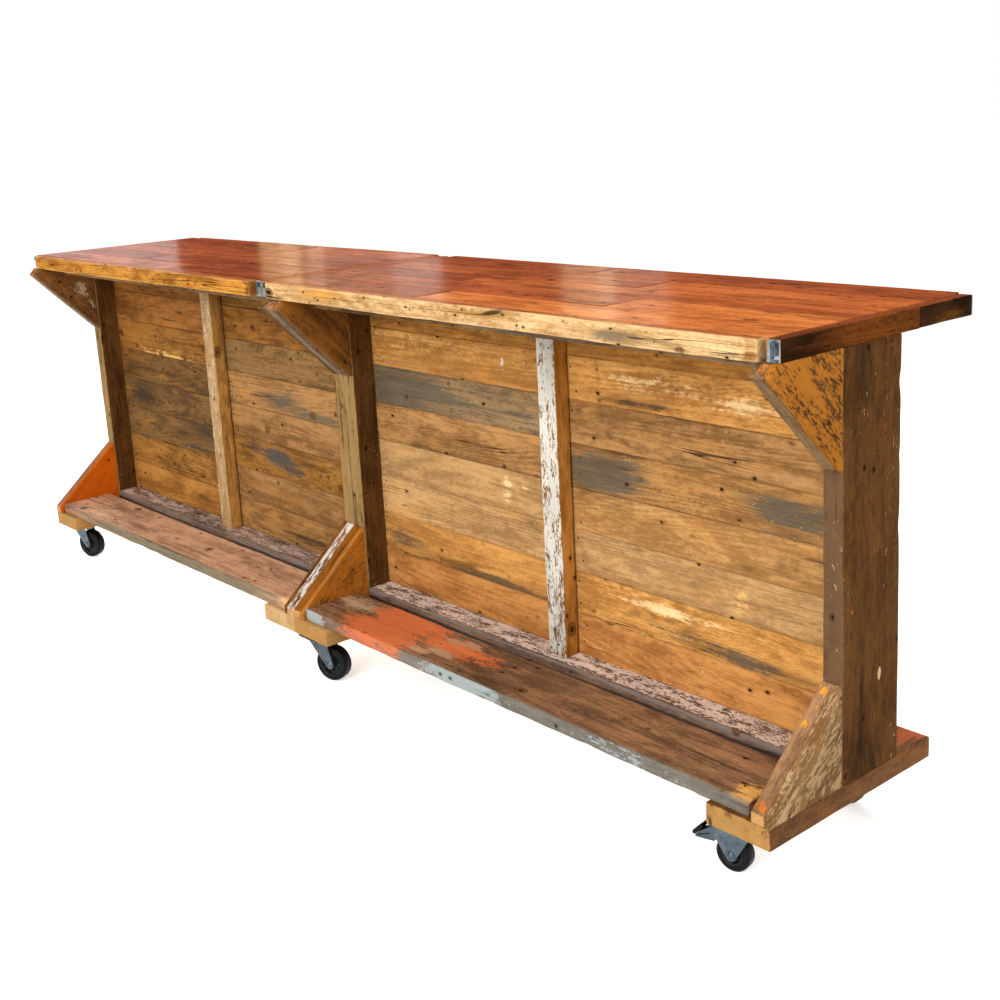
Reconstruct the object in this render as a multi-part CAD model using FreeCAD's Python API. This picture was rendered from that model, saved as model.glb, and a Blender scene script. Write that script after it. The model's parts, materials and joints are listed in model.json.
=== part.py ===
"""Portable bar in two units: board tops on posts, gussets and feet of reclaimed timber, on swivel casters.

X runs along the bar, -Y is the drinkers' side and +Z is up.
The origin is at the middle of the floor under the bar.
All lengths are millimetres and all angles are degrees.
"""
import FreeCAD
import Part
import math
import os
from collections import namedtuple

V = FreeCAD.Vector

# Overall
left_top_length = 1485.0
right_top_length = 1685.0
top_depth = 640.0
bar_height = 1075.0
joint_gap = 3.0
arris = 1.5

# Top: boards on cross bearers, inside an edging
edge_height = 42.0
edge_thickness = 27.0
top_board_thickness = 24.0
top_board_count = 5
top_board_gap = 1.0
bearer_width = 90.0
end_edge_splice = 442.0

# Posts and feet
post_thickness = 45.0
post_depth = 184.0
post_setback = 198.0
top_lap = 72.0
base_gap = 2.0
foot_width = 154.0
foot_height = 45.0
foot_length = 524.0
foot_overhang = 23.0

# Wall between the posts
sill_height = 35.0
sill_depth = 106.0
sill_lip = 4.0
plank_setback = 70.0
plank_thickness = 22.0
plank_count = 8
plank_gap = 1.5
stud_width = 58.0
stud_depth = 42.0
stud_gap = 4.0
right_stud_offset = -19.0
cleat_width = 30.0
cleat_depth = 40.0
rail_height = 31.0
rail_thickness = 22.0
front_rail_setback = 95.0

# Foot shelf
shelf_thickness = 32.0
shelf_depth = 172.0
shelf_setback = 11.0
shelf_end_gap = 1.0
right_shelf_shortfall = 13.0

# Gussets: a plate with a diagonal batten beside it, as thick together as a post
gusset_plate_thickness = 14.0
batten_depth = 31.0
upper_gusset_drop = 233.0
upper_gusset_angle = 45.0
lower_gusset_rise = 213.0
lower_gusset_angle = 41.0

# Hook catches that draw neighbouring tops together
catch_recess = 12.0
catch_setback = 15.0
catch_plate_thickness = 3.0
catch_plate_margin = 1.0
pivot_drop = 9.0
pivot_inset = 10.5
hook_thickness = 3.0
hook_width = 14.0
hook_nose = 4.0
hook_play = 0.3
rivet_radius = 3.0
rivet_head_radius = 5.5
rivet_head_thickness = 2.0
running_play = 0.05

# Casters
caster_height = 125.0
plate_length = 92.0
plate_width = 84.0
plate_thickness = 3.0
bolt_spacing_length = 74.0
bolt_spacing_width = 64.0
screw_radius = 3.0
screw_head_radius = 6.0
screw_head_height = 3.5
screw_length = 34.0
race_radius = 25.0
race_height = 6.0
swivel_play = 0.4
kingpin_radius = 6.0
kingpin_head_radius = 10.0
kingpin_head_height = 4.0
fork_sheet = 3.0
crown_radius = 31.0
crown_length = 58.0
fork_eye_radius = 12.0
wheel_side_play = 4.0
axle_radius = 4.0
axle_head_radius = 7.0
axle_head_height = 5.0
axle_nut_radius = 7.5
axle_nut_height = 6.5
hub_radius = 13.0
hub_side_play = 0.5
web_thickness = 10.0
rim_thickness = 5.0
tyre_thickness = 14.0
tyre_shoulder = 5.0
plain_wheel_diameter = 96.0
plain_wheel_width = 32.0
plain_trail = 36.0
braked_wheel_diameter = 75.0
braked_wheel_width = 28.0
braked_trail = 30.0
left_caster_inset = 46.0
left_caster_setback = 68.0
middle_caster_inset = 58.0
middle_caster_setback = 45.0
right_caster_inset = 40.0
right_caster_setback = 79.0

# Brake lever on the braked casters
lever_width = 26.0
lever_pivot_reach = 32.0
lever_pivot_rise = 44.5
lever_pivot_radius = 3.0
lever_boss_radius = 7.0
lever_reach = 53.0
lever_fall = 23.0
lever_root_depth = 26.0
lever_end_depth = 10.0
shoe_drop = 20.0
shoe_play = 0.5
pad_length = 32.0
pad_thickness = 8.0
pad_angle = 45.0
ear_radius = 9.0

# Levels and lines worked out from the sizes above
bar_length = left_top_length + joint_gap + right_top_length
left_end = -bar_length / 2
right_end = bar_length / 2
joint_left = left_end + left_top_length
joint_right = joint_left + joint_gap
base_joint = joint_right + top_lap
front_y = (foot_overhang - top_depth) / 2
back_y = front_y + top_depth
post_front = front_y + post_setback
post_back = post_front + post_depth
foot_front = front_y - foot_overhang
foot_back = foot_front + foot_length
foot_top = caster_height + foot_height
sill_top = foot_top + sill_height
underside = bar_height - edge_height
plank_front = post_front + plank_setback
plank_back = plank_front + plank_thickness

Unit = namedtuple("Unit", "name top_start top_end base_start base_end")
left_unit = Unit("left", left_end, joint_left, left_end, base_joint - base_gap / 2)
right_unit = Unit("right", joint_right, right_end, base_joint + base_gap / 2, right_end)
units = (left_unit, right_unit)

parts = {}


def board(x0, x1, y0, y1, z0, z1):
    """A sawn board between two corners, with its arrises eased."""
    solid = Part.makeBox(x1 - x0, y1 - y0, z1 - z0, V(x0, y0, z0))
    return solid.makeChamfer(arris, solid.Edges)


def plate_in_yz(outline, x0, x1):
    """A flat piece cut to an outline of (y, z) points, from x0 to x1."""
    corners = [V(x0, y, z) for y, z in outline]
    face = Part.Face(Part.makePolygon(corners + corners[:1]))
    return face.extrude(V(x1 - x0, 0, 0))


def rod(radius, start, end):
    """A round bar from one point to another."""
    along = end - start
    return Part.makeCylinder(radius, along.Length, start, along)


def hexagon(across_corners_radius, height, base, along):
    """A hexagonal bolt head or nut."""
    turn = FreeCAD.Rotation(V(0, 0, 1), along)
    corners = []
    for side in range(6):
        angle = math.radians(60 * side)
        arm = V(across_corners_radius * math.cos(angle), across_corners_radius * math.sin(angle), 0)
        corners.append(base + turn.multVec(arm))
    face = Part.Face(Part.makePolygon(corners + corners[:1]))
    return face.extrude(along * height)


# Tops
def top_boards(unit):
    """Boards laid lengthwise inside the edging, on cross bearers at both ends and the middle."""
    x0 = unit.top_start + edge_thickness
    x1 = unit.top_end - edge_thickness
    inner_depth = top_depth - 2 * edge_thickness
    pitch = (inner_depth + top_board_gap) / top_board_count
    solids = []
    for row in range(top_board_count):
        y0 = front_y + edge_thickness + row * pitch
        y1 = y0 + pitch - top_board_gap
        solids.append(board(x0, x1, y0, y1, bar_height - top_board_thickness, bar_height))
    return solids


def top_bearers(unit):
    """Cross bearers that fill the depth of the edging under the boards."""
    x0 = unit.top_start + edge_thickness
    x1 = unit.top_end - edge_thickness
    middle = stud_centre(unit)
    y0 = front_y + edge_thickness
    y1 = back_y - edge_thickness
    solids = []
    for start in (x0, middle - bearer_width / 2, x1 - bearer_width):
        top = bar_height - top_board_thickness
        solids.append(board(start, start + bearer_width, y0, y1, underside, top))
    return solids


def long_edge(unit, y0):
    """The front or back edging board, cut short at both ends to leave the recesses of the catches."""
    recess = edge_thickness + catch_recess
    x0 = unit.top_start + recess
    x1 = unit.top_end - recess
    return board(x0, x1, y0, y0 + edge_thickness, underside, bar_height)


def end_edges(unit):
    """The two end edgings, set back behind the catch plates; the right end is spliced in two lengths."""
    y0 = front_y + catch_setback + catch_plate_thickness
    y1 = back_y - catch_setback - catch_plate_thickness
    left = board(unit.top_start, unit.top_start + edge_thickness, y0, y1, underside, bar_height)
    cuts = [y0, y1]
    if unit is right_unit:
        cuts.insert(1, front_y + end_edge_splice)
    right = []
    for start, end in zip(cuts, cuts[1:]):
        right.append(board(unit.top_end - edge_thickness, unit.top_end, start, end, underside, bar_height))
    return [left] + right


# Bases
def stud_centre(unit):
    """Where the stud and the middle bearer stand: the middle of the bay, or beside it in the right unit."""
    middle = (unit.base_start + unit.base_end) / 2
    return middle + right_stud_offset if unit is right_unit else middle


def bay(unit):
    """The inner faces of the unit's two posts."""
    return unit.base_start + post_thickness, unit.base_end - post_thickness


def posts(unit):
    """Two planks on end, edge to the front, from the feet to the underside of the top."""
    solids = []
    for x0 in (unit.base_start, unit.base_end - post_thickness):
        solids.append(board(x0, x0 + post_thickness, post_front, post_back, foot_top, underside))
    return solids


def foot_beams(unit):
    """Blocks laid flat from front to back under the posts."""
    solids = []
    for x0 in (unit.base_start, unit.base_end - foot_width):
        solids.append(board(x0, x0 + foot_width, foot_front, foot_back, caster_height, foot_top))
    return solids


def top_rails(unit):
    """Two rails on edge under the top: one between the gusset plates, one between the posts."""
    x0, x1 = bay(unit)
    low = underside - rail_height
    front = front_y + front_rail_setback
    back = post_back - rail_thickness
    return [board(x0, x1, y0, y0 + rail_thickness, low, underside) for y0 in (front, back)]


def sill(unit):
    """The beam along the foot of the wall, lying on the feet between the posts."""
    x0, x1 = bay(unit)
    y0 = post_front - sill_lip
    return board(x0, x1, y0, y0 + sill_depth, foot_top, sill_top)


def wall_planks(unit):
    """Planks laid one on another from the sill to the top."""
    x0, x1 = bay(unit)
    pitch = (underside - sill_top + plank_gap) / plank_count
    solids = []
    for row in range(plank_count):
        z0 = sill_top + row * pitch
        solids.append(board(x0, x1, plank_front, plank_back, z0, z0 + pitch - plank_gap))
    return solids


def wall_cleats(unit):
    """Upright battens on the posts that the planks' ends are nailed to from the front."""
    x0, x1 = bay(unit)
    solids = []
    for start in (x0, x1 - cleat_width):
        end = start + cleat_width
        solids.append(board(start, end, plank_back, plank_back + cleat_depth, sill_top, underside))
    return solids


def stud(unit):
    """The upright in the middle of the bay, just clear of the planks."""
    x0 = stud_centre(unit) - stud_width / 2
    y1 = plank_front - stud_gap
    return board(x0, x0 + stud_width, y1 - stud_depth, y1, sill_top, underside)


def foot_shelf(unit):
    """The plank that the drinkers' feet rest on, lying on the feet between the lower gussets."""
    x0, x1 = bay(unit)
    y0 = foot_front + shelf_setback
    z1 = foot_top + shelf_thickness
    end = x1 - shelf_end_gap
    if unit is right_unit:
        end -= right_shelf_shortfall
    return board(x0 + shelf_end_gap, end, y0, y0 + shelf_depth, foot_top, z1)


def gusset_sides(unit):
    """For the unit's left and right gusset: the x range of the plate, then that of the batten."""
    a0 = unit.base_start
    a1 = a0 + post_thickness
    b1 = unit.base_end
    b0 = b1 - post_thickness
    left = ((a1 - gusset_plate_thickness, a1), (a0, a1 - gusset_plate_thickness))
    inner_side = ((b0, b0 + gusset_plate_thickness), (b0 + gusset_plate_thickness, b1))
    outer_side = ((b1 - gusset_plate_thickness, b1), (b0, b1 - gusset_plate_thickness))
    return left, (outer_side if unit is right_unit else inner_side)


def upper_outlines():
    """Outlines in (y, z) of an upper gusset's plate and batten.

    The diagonal climbs from the post to a square-cut end whose upper corner meets the underside of the top.
    """
    slope = math.radians(upper_gusset_angle)
    foot = (post_front, underside - upper_gusset_drop)
    end_low_z = underside - batten_depth * math.cos(slope)
    end_low = (post_front - (end_low_z - foot[1]) / math.tan(slope), end_low_z)
    end_high = (end_low[0] + batten_depth * math.sin(slope), underside)
    plate = [foot, end_low, end_high, (post_front, underside)]
    batten = [foot, end_low, end_high, (post_front, foot[1] + batten_depth / math.cos(slope))]
    return plate, batten


def lower_outlines():
    """Outlines in (y, z) of a lower gusset's plate and batten.

    The diagonal falls from the post to the front of the foot, where it is cut upright above the foot's end.
    """
    slope = math.radians(lower_gusset_angle)
    head = (post_front, foot_top + lower_gusset_rise)
    end_high = (foot_front, head[1] - (post_front - foot_front) * math.tan(slope))
    inner_drop = batten_depth / math.cos(slope)
    heel = (post_front - (head[1] - inner_drop - foot_top) / math.tan(slope), foot_top)
    plate = [head, end_high, (foot_front, foot_top), (post_front, foot_top)]
    batten = [head, end_high, (foot_front, foot_top), heel, (post_front, head[1] - inner_drop)]
    return plate, batten


# Hook catches
def catch_plate(x0):
    """The plate on the front end of an end edging that starts at x0."""
    y0 = front_y + catch_setback
    size = edge_height - 2 * catch_plate_margin
    return Part.makeBox(edge_thickness, catch_plate_thickness, size,
                        V(x0, y0, underside + catch_plate_margin))


def headed_pin(x):
    """A pin with a head, standing out of a catch plate towards the front."""
    z = bar_height - pivot_drop
    neck = front_y + catch_setback - hook_thickness - 2 * hook_play
    shank = rod(rivet_radius, V(x, front_y + catch_setback, z), V(x, neck, z))
    head = rod(rivet_head_radius, V(x, neck, z), V(x, neck - rivet_head_thickness, z))
    return shank.fuse(head).removeSplitter()


def hook(x, hanging):
    """A flat hook on its pivot at x; its arc-shaped mouth takes the neighbour's pin from above.

    It points to +X over the joint, or hangs down where no neighbour stands.
    """
    z = bar_height - pivot_drop
    y0 = front_y + catch_setback - hook_play
    reach = 2 * pivot_inset + joint_gap
    mouth = rivet_radius + hook_play
    length = reach + mouth + hook_nose
    low = V(x, y0 - hook_thickness, z - hook_width / 2)
    tail_end = V(x, y0 - hook_thickness, z)
    bar = Part.makeBox(length, hook_thickness, hook_width, low)
    solid = bar.fuse(rod(hook_width / 2, V(x, y0, z), tail_end))
    channel = rod(reach + mouth, V(x, y0, z), tail_end)
    channel = channel.cut(rod(reach - mouth, V(x, y0, z), tail_end))
    above = Part.makeBox(2 * length, hook_thickness, length, V(x, y0 - hook_thickness, z))
    solid = solid.cut(channel.common(above))
    solid = solid.cut(rod(mouth, V(x + reach, y0, z), V(x + reach, y0 - hook_thickness, z)))
    solid = solid.cut(rod(rivet_radius + running_play, V(x, y0, z), tail_end))
    if hanging:
        solid.rotate(V(x, y0, z), V(0, 1, 0), 90)
    return solid.removeSplitter()


def to_back(shape):
    """The same piece on the other long side of the top."""
    return shape.mirror(V(0, (front_y + back_y) / 2, 0), V(0, 1, 0))


# Casters, each built with its swivel on the Z axis and its wheel trailing along +X
Caster = namedtuple("Caster", "name x y heading diameter width trail braked")
Foot = namedtuple("Foot", "place start inset setback diameter width trail braked")
feet = (
    Foot("left", left_unit.base_start, left_caster_inset, left_caster_setback,
         plain_wheel_diameter, plain_wheel_width, plain_trail, False),
    Foot("middle", right_unit.base_start, middle_caster_inset, middle_caster_setback,
         plain_wheel_diameter, plain_wheel_width, plain_trail, False),
    Foot("right", right_unit.base_end - foot_width, right_caster_inset, right_caster_setback,
         braked_wheel_diameter, braked_wheel_width, braked_trail, True),
)
headings = {"left_front": 21, "left_rear": 28, "middle_front": 21, "middle_rear": 14,
            "right_front": 190, "right_rear": 180}


def caster_list():
    """Six casters: plain ones under the left and middle feet, braked ones under the right foot."""
    casters = []
    for foot in feet:
        for end, y in (("front", foot_front + foot.setback), ("rear", foot_back - foot.setback)):
            name = foot.place + "_" + end
            casters.append(Caster(name, foot.start + foot.inset, y, headings[name],
                                  foot.diameter, foot.width, foot.trail, foot.braked))
    return casters


def placed(shape, caster, turned=True):
    """Move a piece from the caster's own frame to its place under the bar."""
    if turned:
        shape.rotate(V(0, 0, 0), V(0, 0, 1), caster.heading)
    shape.translate(V(caster.x, caster.y, 0))
    return shape


race_bottom = caster_height - plate_thickness - race_height
crown_top = race_bottom - swivel_play
crown_bottom = crown_top - fork_sheet


def leg_gap(caster):
    """From the wheel's middle plane to the inner face of a fork leg."""
    return caster.width / 2 + wheel_side_play


def bolt_places():
    """The four screw positions about the swivel."""
    half_x = bolt_spacing_width / 2
    half_y = bolt_spacing_length / 2
    return [(sx * half_x, sy * half_y) for sx in (-1, 1) for sy in (-1, 1)]


def caster_plate():
    """Top plate with its ball race and the riveted kingpin that holds the fork."""
    plate = Part.makeBox(plate_width, plate_length, plate_thickness,
                         V(-plate_width / 2, -plate_length / 2, caster_height - plate_thickness))
    for x, y in bolt_places():
        low = V(x, y, caster_height - plate_thickness)
        plate = plate.cut(rod(screw_radius, low, V(x, y, caster_height)))
    race = rod(race_radius, V(0, 0, race_bottom), V(0, 0, caster_height - plate_thickness))
    pin_end = crown_bottom - swivel_play
    pin = rod(kingpin_radius, V(0, 0, pin_end), V(0, 0, race_bottom))
    head = rod(kingpin_head_radius, V(0, 0, pin_end - kingpin_head_height), V(0, 0, pin_end))
    return plate.fuse([race, pin, head]).removeSplitter()


def caster_screws():
    """Four pan-head screws up through the plate into the foot."""
    low = caster_height - plate_thickness
    solids = []
    for x, y in bolt_places():
        head = rod(screw_head_radius, V(x, y, low - screw_head_height), V(x, y, low))
        shank = rod(screw_radius, V(x, y, low), V(x, y, low + screw_length))
        solids.append(head.fuse(shank).removeSplitter())
    return solids


def tangent_point(corner, centre, radius, side):
    """Where a line from a corner touches a circle, left (1) or right (-1) of the line to its centre."""
    dx = centre[0] - corner[0]
    dz = centre[1] - corner[1]
    distance = math.hypot(dx, dz)
    angle = math.atan2(dz, dx) + side * math.asin(radius / distance)
    run = math.sqrt(distance ** 2 - radius ** 2)
    return corner[0] + run * math.cos(angle), corner[1] + run * math.sin(angle)


def leg_blank(top_start, top_end, centre, radius, y0):
    """A sheet leg that tapers from a top edge to a round eye, starting at y0."""
    first = tangent_point((top_end, crown_top), centre, radius, 1)
    last = tangent_point((top_start, crown_top), centre, radius, -1)
    outline = [(top_start, crown_top), (top_end, crown_top), first]
    corners = [V(x, y0, z) for x, z in outline]
    edges = [Part.LineSegment(a, b).toShape() for a, b in zip(corners, corners[1:])]
    bottom = V(centre[0], y0, centre[1] - radius)
    end = V(last[0], y0, last[1])
    edges.append(Part.Arc(corners[-1], bottom, end).toShape())
    edges.append(Part.LineSegment(end, corners[0]).toShape())
    face = Part.Face(Part.Wire(edges))
    return face.extrude(V(0, fork_sheet, 0))


def strap(first, first_radius, second, second_radius, y0):
    """A sheet link with its two long sides tangent to two circles in (x, z), starting at y0."""
    dx = second[0] - first[0]
    dz = second[1] - first[1]
    along = math.atan2(dz, dx)
    open_angle = math.acos((first_radius - second_radius) / math.hypot(dx, dz))
    corners = []
    for centre, radius, sides in ((first, first_radius, (1, -1)), (second, second_radius, (-1, 1))):
        for side in sides:
            angle = along + side * open_angle
            x = centre[0] + radius * math.cos(angle)
            z = centre[1] + radius * math.sin(angle)
            corners.append(V(x, y0, z))
    face = Part.Face(Part.makePolygon(corners + corners[:1]))
    return face.extrude(V(0, fork_sheet, 0))


def lever_pivot(caster):
    """The brake lever's pivot in the caster's own (x, z)."""
    return caster.trail + lever_pivot_reach, caster.diameter / 2 + lever_pivot_rise


def fork(caster):
    """A crown and two legs folded from one sheet; the braked fork has ears for the lever's pin."""
    gap = leg_gap(caster)
    outer = gap + fork_sheet
    crown = Part.makeBox(crown_length, 2 * outer, fork_sheet, V(-crown_length / 2, -outer, crown_bottom))
    solid = crown.fuse(rod(crown_radius, V(0, 0, crown_bottom), V(0, 0, crown_top)))
    hub = (caster.trail, caster.diameter / 2)
    for y0 in (gap, -outer):
        leg = leg_blank(-crown_length / 2, crown_length / 2, hub, fork_eye_radius, y0)
        if caster.braked:
            ear = lever_pivot(caster)
            leg = leg.fuse([leg_blank(-crown_length / 2, crown_length / 2, ear, ear_radius, y0),
                            strap(ear, ear_radius, hub, fork_eye_radius, y0)])
            leg = leg.cut(rod(lever_pivot_radius, V(ear[0], y0, ear[1]), V(ear[0], y0 + fork_sheet, ear[1])))
        leg = leg.cut(rod(axle_radius, V(hub[0], y0, hub[1]), V(hub[0], y0 + fork_sheet, hub[1])))
        solid = solid.fuse(leg)
    solid = solid.cut(rod(kingpin_radius + running_play, V(0, 0, crown_bottom), V(0, 0, crown_top)))
    return solid.removeSplitter()


def axle(caster):
    """The wheel's bolt with its head on one leg and its nut on the other."""
    x = caster.trail
    z = caster.diameter / 2
    outer = leg_gap(caster) + fork_sheet
    bolt_end = outer + axle_nut_height
    bolt = rod(axle_radius, V(x, -outer, z), V(x, bolt_end, z))
    head = rod(axle_head_radius, V(x, -outer - axle_head_height, z), V(x, -outer, z))
    nut = hexagon(axle_nut_radius, axle_nut_height, V(x, outer, z), V(0, 1, 0))
    nut = nut.cut(rod(axle_radius, V(x, outer, z), V(x, bolt_end, z)))
    return [bolt.fuse(head).removeSplitter(), nut]


def ring_of(caster, outline):
    """A solid turned about the caster's axle from an outline of (radius, y) points."""
    x = caster.trail
    z = caster.diameter / 2
    corners = [V(x, y, z + radius) for radius, y in outline]
    face = Part.Face(Part.makePolygon(corners + corners[:1]))
    return face.revolve(V(x, 0, z), V(0, 1, 0), 360)


def wheel_hub(caster):
    """The wheel's centre: a bored boss, a web and the rim under the tyre."""
    bore = axle_radius + running_play
    boss = leg_gap(caster) - hub_side_play
    web = web_thickness / 2
    rim = caster.width / 2
    seat = caster.diameter / 2 - tyre_thickness
    inner = seat - rim_thickness
    half = [(bore, boss), (hub_radius, boss), (hub_radius, web), (inner, web), (inner, rim), (seat, rim)]
    outline = half + [(radius, -y) for radius, y in reversed(half)]
    return ring_of(caster, outline)


def wheel_tyre(caster):
    """The rubber tyre, with bevelled shoulders."""
    tread = caster.diameter / 2
    seat = tread - tyre_thickness
    side = caster.width / 2
    half = [(seat, side), (tread - tyre_shoulder, side), (tread, side - tyre_shoulder)]
    outline = half + [(radius, -y) for radius, y in reversed(half)]
    return ring_of(caster, outline)


def brake_lever(caster):
    """A pressed lever with a tread pad, on its pin between the fork's ears.

    The shoe under the pin stands against the tyre with the brake on, and lifting the pad takes it away.
    """
    px, pz = lever_pivot(caster)
    y0 = -lever_width / 2
    end_x = px + lever_reach
    root_x = px + lever_boss_radius
    root_z = pz - lever_boss_radius
    end_z = pz - lever_fall
    lever = [(px - lever_boss_radius, pz + lever_boss_radius), (root_x, pz + lever_boss_radius),
             (root_x, root_z), (end_x, end_z), (end_x, end_z - lever_end_depth),
             (root_x, root_z - lever_root_depth), (px - lever_boss_radius, pz - shoe_drop)]
    lean = math.radians(pad_angle)
    up = (-math.sin(lean) * pad_length, math.cos(lean) * pad_length)
    inward = (-math.cos(lean) * pad_thickness, -math.sin(lean) * pad_thickness)
    low = (end_x + pad_thickness, end_z)
    pad = [low, (low[0] + up[0], low[1] + up[1]),
           (low[0] + up[0] + inward[0], low[1] + up[1] + inward[1]), (low[0] + inward[0], low[1] + inward[1])]
    solids = []
    for outline in (lever, pad):
        corners = [V(x, y0, z) for x, z in outline]
        face = Part.Face(Part.makePolygon(corners + corners[:1]))
        solids.append(face.extrude(V(0, lever_width, 0)))
    centre_z = caster.diameter / 2
    wheel_space = rod(centre_z + shoe_play, V(caster.trail, y0, centre_z), V(caster.trail, -y0, centre_z))
    half = leg_gap(caster) + fork_sheet
    pin = rod(lever_pivot_radius - running_play, V(px, -half, pz), V(px, half, pz))
    return solids[0].cut(wheel_space).fuse([solids[1], pin]).removeSplitter()


# Every sub-part under its own name
for unit in units:
    parts[unit.name + "_top_boards"] = top_boards(unit)
    parts[unit.name + "_top_bearers"] = top_bearers(unit)
    parts[unit.name + "_front_edge"] = [long_edge(unit, front_y)]
    parts[unit.name + "_end_edges"] = end_edges(unit)
    parts[unit.name + "_posts"] = posts(unit)
    parts[unit.name + "_foot_beams"] = foot_beams(unit)
    parts[unit.name + "_foot_shelf"] = [foot_shelf(unit)]
    parts[unit.name + "_wall_planks"] = wall_planks(unit)

parts["back_edges"] = [long_edge(unit, back_y - edge_thickness) for unit in units]
parts["top_rails"] = [rail for unit in units for rail in top_rails(unit)]
parts["wall_cleats"] = [cleat for unit in units for cleat in wall_cleats(unit)]
parts["wall_studs"] = [stud(unit) for unit in units]
parts["wall_sills"] = [sill(unit) for unit in units]

for level, (plate_outline, batten_outline) in (("upper", upper_outlines()), ("lower", lower_outlines())):
    plates = []
    battens = []
    for unit in units:
        for plate_range, batten_range in gusset_sides(unit):
            plates.append(plate_in_yz(plate_outline, *plate_range))
            battens.append(plate_in_yz(batten_outline, *batten_range))
    parts[level + "_gusset_plates"] = plates
    parts[level + "_gusset_battens"] = battens

hook_plates = []
hook_rivets = []
for place, unit, hanging in (("joint", left_unit, False), ("end", right_unit, True)):
    pivot_x = unit.top_end - pivot_inset
    plate = catch_plate(unit.top_end - edge_thickness)
    rivet = headed_pin(pivot_x)
    front_hook = hook(pivot_x, hanging)
    hook_plates += [plate, to_back(plate)]
    hook_rivets += [rivet, to_back(rivet)]
    parts[place + "_front_hook"] = [front_hook]
    parts[place + "_back_hook"] = [to_back(front_hook)]
parts["hook_plates"] = hook_plates
parts["hook_rivets"] = hook_rivets

keeper_plates = []
for unit in units:
    keeper = catch_plate(unit.top_start).fuse(headed_pin(unit.top_start + pivot_inset))
    keeper_plates += [keeper, to_back(keeper)]
parts["keeper_plates"] = keeper_plates

casters = caster_list()
parts["caster_plates"] = [placed(caster_plate(), caster, False) for caster in casters]
parts["caster_screws"] = [placed(screw, caster, False) for caster in casters for screw in caster_screws()]
for caster in casters:
    parts[caster.name + "_fork"] = [placed(fork(caster), caster)]
    parts[caster.name + "_axle"] = [placed(piece, caster) for piece in axle(caster)]
    parts[caster.name + "_wheel"] = [placed(wheel_hub(caster), caster)]
    parts[caster.name + "_tyre"] = [placed(wheel_tyre(caster), caster)]
    if caster.braked:
        parts[caster.name + "_brake"] = [placed(brake_lever(caster), caster)]

os.makedirs("parts", exist_ok=True)
for name, solids in parts.items():
    shape = solids[0] if len(solids) == 1 else Part.makeCompound(solids)
    shape.exportStep("parts/" + name + ".step")
print(len(parts), "sub-parts,", sum(len(solids) for solids in parts.values()), "solids")
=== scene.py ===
import json
import math
from collections import namedtuple

import bpy
import numpy as np
from mathutils import Matrix, Vector
from mathutils.geometry import convex_hull_2d


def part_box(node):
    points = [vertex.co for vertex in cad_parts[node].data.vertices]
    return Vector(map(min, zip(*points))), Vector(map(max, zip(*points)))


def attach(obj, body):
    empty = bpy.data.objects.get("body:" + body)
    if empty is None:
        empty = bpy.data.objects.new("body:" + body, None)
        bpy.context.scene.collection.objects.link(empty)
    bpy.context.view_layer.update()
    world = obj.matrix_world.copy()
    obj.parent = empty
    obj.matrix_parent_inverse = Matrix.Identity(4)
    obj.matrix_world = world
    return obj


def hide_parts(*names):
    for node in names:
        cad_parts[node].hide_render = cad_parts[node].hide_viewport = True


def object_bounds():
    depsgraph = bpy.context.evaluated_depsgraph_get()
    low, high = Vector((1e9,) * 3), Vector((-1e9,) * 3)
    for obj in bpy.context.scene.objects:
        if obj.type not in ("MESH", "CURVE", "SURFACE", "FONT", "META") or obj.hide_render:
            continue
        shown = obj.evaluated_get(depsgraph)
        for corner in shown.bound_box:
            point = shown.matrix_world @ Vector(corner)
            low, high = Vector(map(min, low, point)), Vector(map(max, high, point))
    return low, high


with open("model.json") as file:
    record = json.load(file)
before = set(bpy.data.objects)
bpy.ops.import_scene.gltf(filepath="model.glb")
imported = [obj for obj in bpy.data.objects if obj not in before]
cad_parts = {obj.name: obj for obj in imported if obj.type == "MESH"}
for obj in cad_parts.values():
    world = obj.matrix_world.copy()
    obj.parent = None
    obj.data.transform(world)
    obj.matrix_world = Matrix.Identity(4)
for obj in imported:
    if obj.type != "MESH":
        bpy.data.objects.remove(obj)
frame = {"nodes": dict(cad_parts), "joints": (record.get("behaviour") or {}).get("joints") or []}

cad_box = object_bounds()

# Foot beams
# Four blocks of pale sawn pine laid flat from front to back, one under each post.
# Their tops are stained and scuffed, and the casters are screwed to their undersides.


class Field:
    """One value that varies over a surface; + - * on it add Math nodes to the material in hand."""
    tree = None

    def __init__(self, socket):
        self.socket = socket

    @classmethod
    def node(cls, kind, settings=None, sockets=None, out=0):
        """Add one node: its settings first, then a number, colour or Field for each socket."""
        made = cls.tree.nodes.new(kind)
        for key, value in (settings or {}).items():
            setattr(made, key, value)
        feed(made, sockets or {})
        return cls(made.outputs[out])

    def math(self, operation, other, swap=False):
        """A Math node of this value and another, or of the other and this one."""
        first, second = (other, self) if swap else (self, other)
        return Field.node("ShaderNodeMath", {"operation": operation}, {0: first, 1: second})

    def __add__(self, other):
        return self.math("ADD", other)

    def __sub__(self, other):
        return self.math("SUBTRACT", other)

    def __mul__(self, other):
        return self.math("MULTIPLY", other)

    def __radd__(self, other):
        return self.math("ADD", other, True)

    def __rsub__(self, other):
        return self.math("SUBTRACT", other, True)

    def __rmul__(self, other):
        return self.math("MULTIPLY", other, True)

    def rise(self, low, high):
        """0 below low, 1 above high and a smooth step between; low above high gives a fall."""
        return Field.node("ShaderNodeMapRange", {"interpolation_type": "SMOOTHSTEP"},
                          {"Value": self, "From Min": low, "From Max": high})


def feed(node, sockets):
    """Set each of a node's sockets to a number or colour, or link a Field to it."""
    for key, value in sockets.items():
        if isinstance(value, Field):
            Field.tree.links.new(value.socket, node.inputs[key])
        else:
            node.inputs[key].default_value = value


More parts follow.
